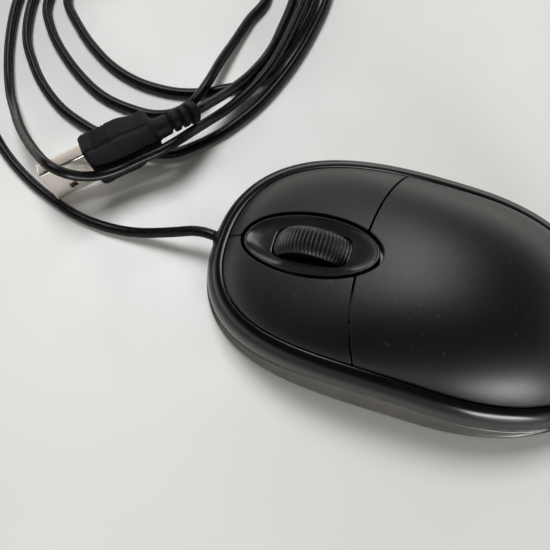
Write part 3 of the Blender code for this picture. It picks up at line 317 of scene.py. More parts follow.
def loft_into(shape, rings, closed=False, caps=True):
    rows = [[shape.verts.new(point) for point in ring] for ring in rings]
    count = len(rows[0])
    pairs = list(zip(rows, rows[1:]))
    if closed:
        pairs.append((rows[-1], rows[0]))
    for one, other in pairs:
        for i in range(count):
            j = (i + 1) % count
            shape.faces.new((one[i], one[j], other[j], other[i]))
    if caps and not closed:
        shape.faces.new(rows[0][::-1])
        shape.faces.new(rows[-1])


def loft(name, rings, closed=False):
    shape = bmesh.new()
    loft_into(shape, rings, closed)
    return to_object(name, shape)


def bevelled_box_into(shape, low, high, bevel=0.0003):
    low, high = Vector(low), Vector(high)
    made = bmesh.ops.create_cube(shape, size=1.0)["verts"]
    bmesh.ops.scale(shape, vec=high - low, verts=made)
    bmesh.ops.translate(shape, vec=(low + high) / 2, verts=made)
    edges = list({edge for vert in made for edge in vert.link_edges})
    bmesh.ops.bevel(shape, geom=edges, offset=bevel, segments=2, profile=0.5, affect="EDGES")


def box(name, low, high):
    shape = bmesh.new()
    bevelled_box_into(shape, low, high, 0.00002)
    return to_object(name, shape)


def rod_into(shape, start, end, radius, sides=32):
    start, end = Vector(start), Vector(end)
    turn = (end - start).to_track_quat("Z", "Y").to_matrix().to_4x4()
    bmesh.ops.create_cone(shape, cap_ends=True, segments=sides, radius1=radius, radius2=radius,
                          depth=(end - start).length, matrix=Matrix.Translation((start + end) / 2) @ turn)


def rod(name, start, end, radius, sides=32):
    shape = bmesh.new()
    rod_into(shape, start, end, radius, sides)
    return to_object(name, shape)


def prism(name, outline, low, high):
    return loft(name, [[(x, y, z) for x, y in outline] for z in (low, high)])


def change(obj, operation, *others, own_crossings=False):
    """Booleans, made into the mesh. own_crossings is for a mesh that passes through itself."""
    for other in others:
        step = obj.modifiers.new(operation, "BOOLEAN")
        step.operation, step.object, step.solver = operation, other, "EXACT"
        step.use_self = own_crossings
    graph = bpy.context.evaluated_depsgraph_get()
    mesh = bpy.data.meshes.new_from_object(obj.evaluated_get(graph))
    obj.modifiers.clear()
    obj.data = mesh
    for other in others:
        bpy.data.objects.remove(other, do_unlink=True)
    return obj


def capsule(length, width, centre, angle=0.0, steps=12):
    """An outline with straight sides and round ends."""
    radius = width / 2
    reach = length / 2 - radius
    cos, sin = math.cos(angle), math.sin(angle)
    points = []
    for end in (1, -1):
        for i in range(steps + 1):
            turn = math.pi * (i / steps - 0.5)
            x, y = end * (reach + radius * math.cos(turn)), end * radius * math.sin(turn)
            points.append((centre[0] + x * cos - y * sin, centre[1] + x * sin + y * cos))
    return points


def smooth_route(route, steps=12):
    """A smooth curve through a route in millimetres: centripetal, so that it never loops."""
    way = [Vector(point) / 1000 for point in route]
    way = [way[0] * 2 - way[1]] + way + [way[-1] * 2 - way[-2]]
    fine = []
    for a, b, c, d in zip(way, way[1:], way[2:], way[3:]):
        knots = [0.0]
        for one, other in ((a, b), (b, c), (c, d)):
            knots.append(knots[-1] + max((other - one).length, 1e-6) ** 0.5)
        for step in range(steps):
            t = knots[1] + (knots[2] - knots[1]) * step / steps
            ab = a.lerp(b, t / knots[1])
            bc = b.lerp(c, (t - knots[1]) / (knots[2] - knots[1]))
            cd = c.lerp(d, (t - knots[2]) / (knots[3] - knots[2]))
            abc = ab.lerp(bc, t / knots[2])
            bcd = bc.lerp(cd, (t - knots[1]) / (knots[3] - knots[1]))
            fine.append(abc.lerp(bcd, (t - knots[1]) / (knots[2] - knots[1])))
    fine.append(way[-2])
    return fine


def evenly(points, spacing):
    """Points a given distance apart along a way."""
    points = np.array(points)
    along = np.concatenate([[0.0], np.cumsum(np.linalg.norm(np.diff(points, axis=0), axis=1))])
    wanted = np.linspace(0.0, along[-1], max(2, int(along[-1] / spacing)))
    return np.stack([np.interp(wanted, along, points[:, k]) for k in range(points.shape[1])], axis=1)


# ---------------------------------------------------------------- cord


def plug_matrix():
    """The plug's own frame: +X out of its mouth, +Y through its wide face, +Z through its narrow one."""
    turn = (Matrix.Rotation(PLUG_YAW, 4, "Z") @ Matrix.Rotation(-PLUG_PITCH, 4, "Y")
            @ Matrix.Rotation(PLUG_ROLL, 4, "X"))
    return Matrix.Translation(PLUG_FRONT) @ turn


def relief_point(share):
    """A point on the middle of the bent strain relief. Share 0 is at the overmold."""
    x = -SHELL_VISIBLE - OVERMOLD_LENGTH - RELIEF_LENGTH * share
    return Vector((x, RELIEF_BEND[0] * share**2, RELIEF_BEND[1] * share**2))


def make_cord():
    behind = [relief_point(1.0 + step * GAP / RELIEF_LENGTH) for step in (5, 1)]
    route = ROUTE + [tuple(plug_matrix() @ point * 1000) for point in behind]
    points = evenly(smooth_route(route), 0.0014)
    curve = bpy.data.curves.new("mouse_cord", "CURVE")
    curve.dimensions = "3D"
    curve.bevel_depth = CORD_DIAMETER / 2
    curve.bevel_resolution = 6
    curve.use_fill_caps = True
    spline = curve.splines.new("POLY")
    spline.points.add(len(points) - 1)
    for point, place in zip(spline.points, points):
        point.co = (*place, 1.0)
    spline.use_smooth = True
    cord = bpy.data.objects.new("mouse_cord", curve)
    LOOKS.objects.link(cord)
    return settle(cord, "housing", "cord_pvc", "cord")


cord = make_cord()

# ---------------------------------------------------------------- the housing's form


def outline_point(angle):
    """A point of the seam seen from above. Angle 0 is the nose, and it grows towards +X."""
    side, ahead = math.sin(angle), math.cos(angle)
    powers, end = (NOSE_POWERS, SEAM_NOSE_Y) if ahead >= 0 else (TAIL_POWERS, SEAM_TAIL_Y)
    y = WIDEST_Y + (end - WIDEST_Y) * abs(ahead) ** (2 / powers[0])
    x = math.copysign(SEAM_HALF_WIDTH * abs(side) ** (2 / powers[1]), side)
    return x, y


def spaced_outline(count):
    """Evenly spaced seam points, starting at the nose, with their outward normals."""
    fine = np.array([outline_point(2 * math.pi * i / 5760) for i in range(5761)])
    along = np.concatenate([[0.0], np.cumsum(np.hypot(*np.diff(fine, axis=0).T))])
    wanted = np.linspace(0.0, along[-1], count, endpoint=False)
    points = np.stack([np.interp(wanted, along, fine[:, k]) for k in (0, 1)], axis=1)
    ahead = np.roll(points, -1, axis=0) - np.roll(points, 1, axis=0)
    ahead /= np.hypot(*ahead.T)[:, None]
    return points, np.stack([-ahead[:, 1], ahead[:, 0]], axis=1)


FINE_COUNT = 1200
OUTLINE, NORMALS = spaced_outline(FINE_COUNT)


def seam_height(y):
    share = y / 0.05
    return SEAM_HEIGHT + SEAM_RISE * share - SEAM_FALL * share**2


def width_at(y):
    """The outline's half width across the mouse at y."""
    ahead = y > WIDEST_Y
    share = np.clip(np.where(ahead, (y - WIDEST_Y) / (SEAM_NOSE_Y - WIDEST_Y),
                             (y - WIDEST_Y) / (SEAM_TAIL_Y - WIDEST_Y)), 0, 1)
    reach = 1 - share ** np.where(ahead, NOSE_POWERS[0], TAIL_POWERS[0])
    return SEAM_HALF_WIDTH * reach ** (1 / np.where(ahead, NOSE_POWERS[1], TAIL_POWERS[1]))


def top_height(x, y):
    """The height of the keys and palm rest: a crown on the seam's height, even from side to side."""
    x, y = np.asarray(x, float), np.asarray(y, float)
    along = np.clip(np.where(y > 0, y / SEAM_NOSE_Y, y / SEAM_TAIL_Y), 0, 1)
    ridge = (1 - along ** np.where(y > 0, CROWN_POWER_NOSE, CROWN_POWER_TAIL)) ** CROWN_ROUNDING
    across = np.clip(np.abs(x) / np.maximum(width_at(y), 1e-5), 0, 1)
    crown = CROWN_MEAN - CROWN_SWING * np.sin(2 * math.pi * (y - CROWN_Y) / CROWN_WAVE)
    return seam_height(y) + crown * ridge * (1 - across**CROWN_POWER_SIDE) ** CROWN_ROUNDING


def wall_height(y):
    """Where the band meets the base: high along the flanks, low at the nose and tail."""
    share = max(0.0, 1 - ((y - WALL_MID_Y) / WALL_REACH) ** 2)
    return WALL_LOW + WALL_RISE * share**1.5


def flare(y):
    """How much further out the band and base reach towards the nose."""
    return 1 + NOSE_FLARE * min(1.0, max(0.0, y / 0.05)) ** 2


def waist(y):
    """How far out the band meets the base: further in along the flanks, where the wall leans in."""
    return BAND_OUT - BAND_WAIST * (wall_height(y) - WALL_LOW) / WALL_RISE


def ring(offset, height, step=3):
    """The outline moved outwards, by an amount and at a height that may depend on the place."""
    points = []
    for (x, y), (nx, ny) in zip(OUTLINE[::step], NORMALS[::step]):
        out = offset(y) if callable(offset) else offset
        out *= flare(y) if out > 0 else 1
        points.append((x + nx * out, y + ny * out, height(y) if callable(height) else height))
    return points


def key_rear(x):
    """Where the seam behind the keys runs."""
    return KEY_REAR_Y - KEY_REAR_FALL * np.minimum(1.2, np.abs(x) / 0.025) ** KEY_REAR_POWER


def oval(half_length, half_width, count=160, square=2.0, middle=BEZEL_Y):
    """An oval seen from above, squarer with a higher power."""
    points = []
    for i in range(count):
        turn = 2 * math.pi * i / count
        side, ahead = math.sin(turn), math.cos(turn)
        points.append((math.copysign(half_width * abs(side) ** (2 / square), side),
                       middle + math.copysign(half_length * abs(ahead) ** (2 / square), ahead)))
    return points


# ---------------------------------------------------------------- keys and palm rest

EDGE_ROUNDING, REAR_EDGE_ROUNDING = 0.00028, 0.00012
EDGE_SPACING = 0.00035
INSIDE_SPACING = 0.0011
EDGE_STEPS = [EDGE_ROUNDING * (1 - math.cos(math.radians(a))) for a in (0, 22, 42, 60, 76, 90)]
INSIDE_STEPS = [0.0004, 0.0007, 0.0011, 0.0016, 0.0023]
PANEL_WALL = 0.0013


class Border:
    """One border of a panel: points along it, which way is in, and how far in a place is."""

    def __init__(self, points, depth, rounding=EDGE_ROUNDING):
        self.points, self.depth, self.rounding = points, depth, rounding
        ahead = np.gradient(points, axis=0)
        ahead /= np.hypot(*ahead.T)[:, None]
        self.inward = np.stack([-ahead[:, 1], ahead[:, 0]], axis=1)
        middle = len(points) // 2
        probe = points[middle] + self.inward[middle] * 0.0002
        if depth(probe[None])[0] < 0:
            self.inward = -self.inward


def outline_border():
    """The seam between the upper pieces and the band."""
    points = OUTLINE - NORMALS * GAP / 2
    points = np.concatenate([points, points[:1]])
    tree = KDTree(len(points))
    for i, (x, y) in enumerate(points):
        tree.insert((x, y, 0), i)
    tree.balance()

    def depth(places):
        found = []
        for x, y in places:
            i = tree.find((x, y, 0))[1]
            k = i % FINE_COUNT
            found.append(float((points[i][0] - x) * NORMALS[k][0] + (points[i][1] - y) * NORMALS[k][1]))
        return np.array(found)

    return Border(evenly(points, EDGE_SPACING), depth)


def rear_border(sign):
    """The seam between the keys and the palm rest, seen from the keys with sign 1 and the palm with -1."""
    xs = np.linspace(-0.030, 0.030, 1200)
    line = np.stack([xs, key_rear(xs) + sign * KEY_GAP / 2], axis=1)

    def depth(places):
        x = places[:, 0]
        slope = (key_rear(x + 0.0001) - key_rear(x - 0.0001)) / 0.0002
        return sign * (places[:, 1] - key_rear(x) - sign * KEY_GAP / 2) / np.hypot(1, slope)

    return Border(evenly(line, EDGE_SPACING), depth, REAR_EDGE_ROUNDING)


def bezel_border():
    """The oval opening round the wheel's dish."""
    half = BEZEL_HALF_LENGTH + OPENING_CLEARANCE, BEZEL_HALF_WIDTH + OPENING_CLEARANCE
    points = np.array(oval(*half, count=1600))
    points = np.concatenate([points, points[:1]])

    def depth(places):
        u, v = places[:, 0] / half[1], (places[:, 1] - BEZEL_Y) / half[0]
        size = np.maximum(np.hypot(u, v), 1e-9)
        steep = np.hypot(u / half[1], v / half[0]) / size
        return (size - 1) / np.maximum(steep, 1e-9)

    return Border(evenly(points, EDGE_SPACING), depth)


def middle_border(sign):
    """The seam between the two keys, ahead of the wheel."""
    line = np.stack([np.full(400, sign * GAP / 2), np.linspace(0.02, 0.056, 400)], axis=1)
    return Border(evenly(line, EDGE_SPACING), lambda places: sign * places[:, 0] - GAP / 2)


def panel(borders):
    """A closed shell over the plan region inside all the borders, following the top surface."""

    def inside(places, margins):
        keep = np.ones(len(places), bool)
        for border, margin in zip(borders, margins):
            keep &= border.depth(places) >= margin
        return places[keep]

    runs = []
    for border in borders:
        good = np.ones(len(border.points), bool)
        for other in borders:
            if other is not border:
                good &= other.depth(border.points) >= 0.00006
        marks = np.flatnonzero(np.diff(np.concatenate([[0], good.astype(int), [0]])))
        for start, stop in zip(marks[::2], marks[1::2]):
            if stop - start > 2:
                runs.append(border.points[start:stop])
    loop = list(runs.pop(0))
    while runs:
        ends = [(np.hypot(*(run[at] - loop[-1])), i, at) for i, run in enumerate(runs) for at in (0, -1)]
        _, i, at = min(ends)
        run = runs.pop(i)
        loop += list(run if at == 0 else run[::-1])
    places = [np.array(loop)]
    for step in EDGE_STEPS[1:] + INSIDE_STEPS:
        stride = 1 if step < 0.001 else 2
        for border in borders:
            moved = border.points[::stride] + border.inward[::stride] * step
            margins = [step * 0.98 if other is border else step * 1.05 for other in borders]
            places.append(inside(moved, margins))
    rows = np.arange(-0.054, 0.054, INSIDE_SPACING * 0.866)
    grid = []
    for i, y in enumerate(rows):
        xs = np.arange(-0.028, 0.028, INSIDE_SPACING) + (i % 2) * INSIDE_SPACING / 2
        grid.append(np.stack([xs, np.full(len(xs), y)], axis=1))
    places.append(inside(np.concatenate(grid), [INSIDE_STEPS[-1] + 0.0006] * len(borders)))
    flat = np.concatenate(places)
    count = len(loop)
    made = delaunay_2d_cdt([Vector(p * 1000) for p in flat], [], [list(range(count))], 1, 1e-4)
    verts = np.array([tuple(v) for v in made[0]]) / 1000
    drop = np.zeros(len(verts))
    for border in borders:
        short = np.clip(border.rounding - border.depth(verts), 0, border.rounding)
        drop = np.maximum(drop, border.rounding - np.sqrt(border.rounding**2 - short**2))
    heights = top_height(verts[:, 0], verts[:, 1]) - drop
    shape = bmesh.new()
    upper = [shape.verts.new((x, y, z)) for (x, y), z in zip(verts, heights)]
    lower = [shape.verts.new((x, y, z - PANEL_WALL)) for (x, y), z in zip(verts, heights)]
    for face in made[2]:
        shape.faces.new([upper[i] for i in face])
        shape.faces.new([lower[i] for i in reversed(face)])
    shape.edges.ensure_lookup_table()
    twin = {one: other for one, other in zip(upper, lower)}
    rim = [edge for edge in shape.edges if len(edge.link_faces) == 1 and edge.verts[0] in twin]
    for edge in rim:
        one, other = edge.verts
        shape.faces.new((one, other, twin[other], twin[one]))
    return shape


def make_palm_cover():
    """The palm rest with the boss that the case screw goes up into."""
    shape = panel([outline_border(), rear_border(-1), bezel_border()])
    top = float(top_height(0, CASE_SCREW_Y - BOSS_RADIUS)) - BOSS_DEPTH
    rod_into(shape, (0, CASE_SCREW_Y, BOSS_MIDDLE), (0, CASE_SCREW_Y, top), BOSS_RADIUS)
    foot = [(BOSS_RADIUS, BOSS_MIDDLE), (BOSS_RADIUS, BOSS_LOW), (BOSS_BORE, BOSS_LOW), (BOSS_BORE, BOSS_MIDDLE)]
    turns = [2 * math.pi * i / 32 for i in range(32)]
    rings = [[(radius * math.cos(turn), CASE_SCREW_Y + radius * math.sin(turn), z) for turn in turns]
             for radius, z in foot]
    loft_into(shape, rings, closed=True)
    settle(smooth(to_object("palm_rest", shape)), "housing", "matte_black_abs", "palm_cover")


def make_key(side, sign):
    """A key with its hinge tongue and the peg that presses the switch."""
    shape = panel([outline_border(), rear_border(1), bezel_border(), middle_border(sign)])
    tongue = sorted(sign * x for x in TONGUE_X)
    top = float(top_height(TONGUE_X[1], TONGUE_FRONT_Y)) - TONGUE_DEPTH
    bevelled_box_into(shape, (tongue[0], KEY_HINGE_Y, top - TONGUE_THICKNESS), (tongue[1], TONGUE_FRONT_Y, top))
    top = float(top_height(KEY_PEG_X + PEG_RADIUS, KEY_PEG_Y + PEG_RADIUS)) - PEG_DEPTH
    rod_into(shape, (sign * KEY_PEG_X, KEY_PEG_Y, PEG_BOTTOM), (sign * KEY_PEG_X, KEY_PEG_Y, top), PEG_RADIUS)
    settle(smooth(to_object(side + "_button", shape)), side + "_key", "matte_black_abs", side + "_key")


# ---------------------------------------------------------------- band, base and what is set in them


def make_band():
    """The band: a shoulder that falls away from the seam, a bulging side and a waist above the base."""
    low = lambda y: wall_height(y) + GAP / 2
    upper_low = 0.0044
    between = lambda y, share: seam_height(y) - upper_low + (low(y) - seam_height(y) + upper_low) * share
    rounded = [(0.00013, 0.0003), (0.00014, 0.00012), (0.00022, 0.00003), (0.00036, 0.00002)]
    upper = evenly(smooth_route([(0.36, 0.02, 0), (1.1, 0.20, 0), (1.8, 0.55, 0), (2.5, 1.18, 0),
                                 (3.1, 2.05, 0), (3.52, 3.1, 0), (3.8, 4.4, 0)]), 0.00045)
    section = [(out, lambda y, d=down: seam_height(y) - d) for out, down in rounded]
    section += [(out, lambda y, d=down: seam_height(y) - d) for out, down, _ in upper[1:]]
    bulge = smooth_route([(0, 3.8, 0), (0.18, 4.02, 0), (0.38, BAND_OUT * 1000, 0), (0.6, 4.06, 0),
                          (0.8, 4.02, 0), (1.0, BAND_OUT * 1000, 0)], 2)
    for point in bulge[1:-1]:
        share, out = point.x * 1000, point.y
        section.append((lambda y, o=out, s=share: o - (BAND_OUT - waist(y)) * s**2.2,
                        lambda y, s=share: between(y, s)))
    section += [(waist, lambda y: low(y) + 0.00020),
                (lambda y: waist(y) - 0.00005, lambda y: low(y) + 0.00005),
                (lambda y: waist(y) - 0.00022, low), (lambda y: waist(y) - 0.0012, low),
                (0.0014, lambda y: seam_height(y) - 0.0045), (0.00013, lambda y: seam_height(y) - 0.0026)]
    band = loft("glossy_band", [ring(out, height) for out, height in section], closed=True)
    change(band, "DIFFERENCE", box("notch", (-NOTCH_HALF_WIDTH, 0.0490, 0.0010), (NOTCH_HALF_WIDTH, 0.0610, NOTCH_TOP)),
           rod("notch_top", (0, 0.0490, NOTCH_TOP), (0, 0.0610, NOTCH_TOP), NOTCH_HALF_WIDTH, 48))
    settle(smooth(band), "housing", "satin_black_abs", "frame_band")


def make_base():
    """The bottom tray: a leaning wall with a lip behind the band, posts, recesses and holes."""
    top = lambda y: wall_height(y) - GAP / 2
    shoulder = lambda y: min(wall_height(y) - 0.0004, 0.0026)
    between = lambda y, s: shoulder(y) + (top(y) - shoulder(y)) * s
    lean = lambda y, s: BASE_OUT + (waist(y) + 0.0001 - BASE_OUT) * s
    rings = [ring(BASE_OUT - 0.0012, BASE_BOTTOM), ring(BASE_OUT - 0.0006, BASE_BOTTOM + 0.00012),
             ring(BASE_OUT - 0.00015, BASE_BOTTOM + 0.00045), ring(BASE_OUT, BASE_BOTTOM + 0.0010),
             ring(BASE_OUT, lambda y: shoulder(y) - 0.00020)]
    for share, hollow in ((0.03, 0.00005), (0.1, 0.00012), (0.25, 0.0002), (0.5, 0.0002), (0.75, 0.0001)):
        rings.append(ring(lambda y, s=share, h=hollow: lean(y, s) - h, lambda y, s=share: between(y, s)))
    rings += [ring(lambda y: waist(y) + 0.0001, lambda y: top(y) - 0.00015),
              ring(lambda y: waist(y) - 0.00005, top), ring(lambda y: waist(y) - 0.0018, top)]
    rings += [ring(lambda y, d=inward: waist(y) - d, lambda y, r=rise: top(y) + r)
              for inward, rise in ((0.0018, 0.0010), (0.0024, 0.0010), (0.0024, -0.0010))]
    rings.append(ring(BASE_OUT - 0.0020, BASE_FLOOR))
    base = loft("bottom_tray", rings)
    low, high = BASE_BOTTOM + 0.0008, BOARD_LOW - GAP
    posts = []
    for sign in (-1, 1):
        for name, x, y, radius in (("post", sign * BOARD_SCREW_X, BOARD_SCREW_Y, 0.0025),
                                   ("pin", sign * BOARD_PIN_X, BOARD_PIN_Y, 0.0018)):
            posts.append(rod(name, (x, y, low), (x, y, high), radius))
    posts.append(rod("boss", (0, CASE_SCREW_Y, low), (0, CASE_SCREW_Y, 0.009), 0.0036))
    change(base, "UNION", *posts)
    cutters = [rod("screw_hole", (0, CASE_SCREW_Y, 0), (0, CASE_SCREW_Y, 0.0102), 0.0015),
               rod("screw_seat", (0, CASE_SCREW_Y, -0.001), (0, CASE_SCREW_Y, 0.0027), 0.0029),
               prism("lens_window", capsule(0.0124, 0.0086, (0, SENSOR_Y), math.pi / 2), 0, 0.0035),
               box("nose_notch", (-0.0042, 0.0542, -0.001), (0.0042, 0.0610, 0.0060))]
    for sign in (-1, 1):
        cutters.append(rod("post_hole", (sign * BOARD_SCREW_X, BOARD_SCREW_Y, 0.0030),
                           (sign * BOARD_SCREW_X, BOARD_SCREW_Y, 0.0080), 0.0013))
        for ahead in (-1, 1):
            turn = -sign * ahead * math.radians(FOOT_TURN)
            outline = capsule(FOOT_LENGTH + FOOT_PLAY, FOOT_WIDTH + FOOT_PLAY, (sign * FOOT_X, ahead * FOOT_Y), turn)
            cutters.append(prism("foot_recess", outline, -0.001, BASE_BOTTOM + 0.0005))
    change(base, "DIFFERENCE", *cutters, own_crossings=True)
    settle(smooth(base), "housing", "matte_black_abs", "base_shell")
    # The tray takes the lighter warm grey, a painted reflection of the table, in place of the black finish.
    base.data.materials.clear()
    base.data.materials.append(TRAY_LOOK_PAINTED_REFLECTION)


def make_grommet():
    """The moulded block at the nose: an arch with a rounded front, on a flange inside the housing."""

    def arch(y, grow):
        half, low = 0.0021 + grow, 0.0050 - grow
        turns = [math.pi * i / 24 for i in range(25)]
        bow = [(half * math.cos(turn), y, NOTCH_TOP + half * math.sin(turn)) for turn in turns]
        return [(half, y, low)] + bow + [(-half, y, low)]

    shape = bmesh.new()
    loft_into(shape, [arch(0.0511, 0), arch(0.0542, 0), arch(0.05445, -0.0001), arch(0.0546, -0.0004)])
    bevelled_box_into(shape, (-0.0031, 0.0487, 0.0040), (0.0031, 0.0495, 0.0104))
    bevelled_box_into(shape, (-0.0019, 0.0492, 0.0048), (0.0019, 0.0513, 0.0100), 0.0001)
    return settle(smooth(to_object("nose_grommet", shape)), "housing", "cord_pvc", "cord_grommet")


def make_bezel():
    """The oval dish round the wheel: a bright rounded rim, a hollow and a lip down into the slot."""
    slot = oval(SLOT_HALF_LENGTH, SLOT_HALF_WIDTH, square=4.5, middle=SLOT_Y)

    def at(share, lower):
        """A ring between the rim, 0, and the slot's edge, 1."""
        rim = oval(BEZEL_HALF_LENGTH, BEZEL_HALF_WIDTH)
        points = [(a[0] + (b[0] - a[0]) * share, a[1] + (b[1] - a[1]) * share) for a, b in zip(rim, slot)]
        return [(x, y, float(top_height(x, y)) - BEZEL_SUNK - lower) for x, y in points]

    rings = [at(0.0, 0.0024), at(0.0, 0.00035), at(0.008, 0.00012), at(0.035, 0.0), at(0.075, -0.00002),
             at(0.115, 0.00006), at(0.15, 0.00022)]
    for share in (0.22, 0.3, 0.4, 0.5, 0.6, 0.7, 0.8, 0.9):
        hollow = math.sin(math.pi / 2 * (share - 0.15) / 0.85) ** 0.85
        rings.append(at(share, 0.00022 + (DISH_DEPTH - 0.00022) * hollow))
    rings += [at(0.96, DISH_DEPTH), at(0.99, DISH_DEPTH + 0.00006), at(1.0, DISH_DEPTH + 0.0002),
              at(1.0, DISH_DEPTH + 0.0011), at(0.5, DISH_DEPTH * 0.6 + 0.0012), at(0.12, 0.0024)]
    shape = bmesh.new()
    loft_into(shape, rings, closed=True)
    rod_into(shape, (-0.0008, 0.0445, BASE_FLOOR + GAP), (-0.0008, 0.0445, 0.0170), 0.0010)
    bevelled_box_into(shape, (-0.0028, 0.0060, 0.0258), (0.0028, 0.0121, 0.0270))
    settle(smooth(to_object("wheel_dish", shape), 50), "housing", "bezel_dark_satin", "wheel_bezel")


def make_tyre():
    """The rubber tyre with its fine ribs across the tread."""
    half, count = WHEEL_HALF_WIDTH, RIBS * STEPS_PER_RIB
    profile = [(TYRE_BORE, -half, 0.0), (WHEEL_RADIUS - 0.0018, -half, 0.0),
               (WHEEL_RADIUS - 0.0015, -half + 0.00006, 0.1)]
    for share in np.linspace(-0.95, 0.95, 15):
        crown = WHEEL_RADIUS - TREAD_FALL * abs(share) ** 3
        profile.append((crown, share * half, 1 - 0.6 * abs(share) ** 8))
    profile += [(WHEEL_RADIUS - 0.0015, half - 0.00006, 0.1), (WHEEL_RADIUS - 0.0018, half, 0.0),
                (TYRE_BORE, half, 0.0)]
    rings = []
    for i in range(count):
        turn = 2 * math.pi * i / count
        phase = (i % STEPS_PER_RIB) / STEPS_PER_RIB
        groove = RIB_DEPTH * (0.5 - 0.5 * math.cos(2 * math.pi * phase)) ** 1.3
        rings.append([(along, WHEEL_Y + (radius - groove * share) * math.cos(turn),
                       WHEEL_Z + (radius - groove * share) * math.sin(turn)) for radius, along, share in profile])
    shape = bmesh.new()
    loft_into(shape, rings, closed=True)
    settle(smooth(to_object("ribbed_tyre", shape), 60), "wheel", "wheel_rubber", "wheel_tyre")


# ---------------------------------------------------------------- plug


def plug_ring(x, half_width, half_thickness, count=72, square=5.0):
    """A section across the plug, squarer with a higher power."""
    points = []
    for i in range(count):
        turn = 2 * math.pi * i / count
        side, up = math.cos(turn), math.sin(turn)
        points.append((x, math.copysign(half_thickness * abs(side) ** (2 / square), side),
                       math.copysign(half_width * abs(up) ** (2 / square), up)))
    return points


def relief_ring(share, radius):
    """A round section of the strain relief, square to its bend."""
    middle = relief_point(share)
    lean = [2 * bend * share / RELIEF_LENGTH for bend in RELIEF_BEND]
    return [(x + lean[0] * y + lean[1] * z, y + middle.y, z + middle.z)
            for x, y, z in plug_ring(middle.x, radius, radius, square=2.0)]


def make_overmold():
    """The grip with its finger grooves, its neck and the strain relief with three thick rings."""
    back, half_w, half_t = -SHELL_VISIBLE, OVERMOLD_WIDTH / 2, OVERMOLD_THICKNESS / 2
    rings = [plug_ring(back + 0.00061, SHELL_WIDTH / 2 + 0.0002, SHELL_THICKNESS / 2 + 0.0002, square=9),
             plug_ring(back + 0.0006, half_w - 0.0008, half_t - 0.0005, square=9),
             plug_ring(back + 0.0004, half_w - 0.0005, half_t - 0.00025, square=9),
             plug_ring(back - 0.0003, half_w - 0.00012, half_t - 0.00005, square=9),
             plug_ring(back - 0.0009, half_w, half_t, square=9)]
    stations = [(GRIP_START, 1, 1)]
    stations += [(GRIP_START + GRIP_LENGTH * i / 60, 1, 1) for i in range(1, 60)]
    stations += [(0.0080, 1, 1), (0.0105, 1, 1), (0.0119, 0.995, 0.995), (0.0127, 0.965, 0.97),
                 (0.0138, 0.915, 0.92), (0.0146, 0.885, 0.895), (0.0153, 0.875, 0.89), (0.0162, 0.880, 0.91),
                 (0.0172, 0.885, 0.93), (0.0180, 0.865, 0.925), (0.0185, 0.82, 0.88), (0.0188, 0.74, 0.80)]
    for x, wide, thick in stations:
        points = plug_ring(back - x, half_w * wide, half_t * thick, square=9.0 if x < 0.0119 else 6.5)
        if GRIP_START < x < GRIP_START + GRIP_LENGTH:
            phase = (x - GRIP_START) / GRIP_LENGTH * GRIP_GROOVES
            groove = GRIP_DEPTH * (0.5 - 0.5 * math.cos(2 * math.pi * phase)) ** 0.8
            at_edge = [min(1.0, max(0.0, (abs(point[2]) / half_w - 0.80) / 0.12)) for point in points]
            points = [(px, py, pz - math.copysign(groove * share, pz))
                      for (px, py, pz), share in zip(points, at_edge)]
        rings.append(points)
    rings += [plug_ring(back - 0.0190, 0.0038, 0.0032, square=2.3),
              plug_ring(back - 0.0193, 0.0034, 0.0030, square=2.1),
              plug_ring(back - 0.0198, 0.0032, 0.0029, square=2.0)]
    rings += [relief_ring(0.08, 0.0030), relief_ring(0.24, 0.0029), relief_ring(0.27, 0.00285)]
    for start, end, radius in ((0.36, 0.52, 0.00295), (0.60, 0.74, 0.00295), (0.81, 0.985, 0.00305)):
        rings += [relief_ring(start - 0.02, 0.0018), relief_ring(start, 0.0018),
                  relief_ring(start + 0.005, radius - 0.0002), relief_ring(start + 0.02, radius),
                  relief_ring(end - 0.02, radius), relief_ring(end - 0.005, radius - 0.0002)]
    rings += [relief_ring(1.0, 0.0020)]
    overmold = loft("plug_grip", rings)
    room_y, room_z = SHELL_THICKNESS / 2 + 0.0001, SHELL_WIDTH / 2 + 0.0001
    change(overmold, "DIFFERENCE", box("socket", (back - 0.0050, -room_y, -room_z), (back + 0.0010, room_y, room_z)))
    overmold.data.materials.clear()
    overmold.data.materials.append(OVERMOLD_LOOK)
    overmold.data.transform(plug_matrix())
    return settle(smooth(overmold, 40), "housing", "cord_pvc", "plug_overmold")


def make_plug_shell():
    """The folded metal shell: rounded corners, a turned-in lip, two windows a side and the seam of its fold."""
    back = -SHELL_VISIBLE

    def sheet(x, inset, radius=0.00075):
        half_y, half_z = SHELL_THICKNESS / 2 - inset, SHELL_WIDTH / 2 - inset
        radius = max(0.0001, radius - inset)
        points = []
        for start, cy, cz in ((0, half_y, half_z), (90, -half_y, half_z), (180, -half_y, -half_z),
                              (270, half_y, -half_z)):
            middle = cy - math.copysign(radius, cy), cz - math.copysign(radius, cz)
            for k in range(9):
                turn = math.radians(start + 90 * k / 8)
                points.append((x, middle[0] + radius * math.cos(turn), middle[1] + radius * math.sin(turn)))
        return points

    rings = [sheet(back - 0.0046, 0), sheet(-0.00035, 0), sheet(-0.0001, 0.00004), sheet(0.0, 0.00012),
             sheet(0.0, SHELL_SHEET), sheet(back - 0.0046, SHELL_SHEET)]
    shell = loft("plug_shield", rings, closed=True)
    cutters = []
    for face in (-1, 1):
        y = sorted((face * 0.0016, face * 0.0030))
        for across in (-0.00285, 0.00285):
            cutters.append(box("window", (-0.0074, y[0], across - 0.00105), (-0.0052, y[1], across + 0.00105)))
    deep = -SHELL_THICKNESS / 2 + 0.00012
    cutters.append(box("seam", (back - 0.004, -0.0030, -0.00004), (-0.0001, deep, 0.00004)))
    change(shell, "DIFFERENCE", *cutters)
    shell.data.transform(plug_matrix())
    return settle(smooth(shell), "housing", "steel", "plug_shell")


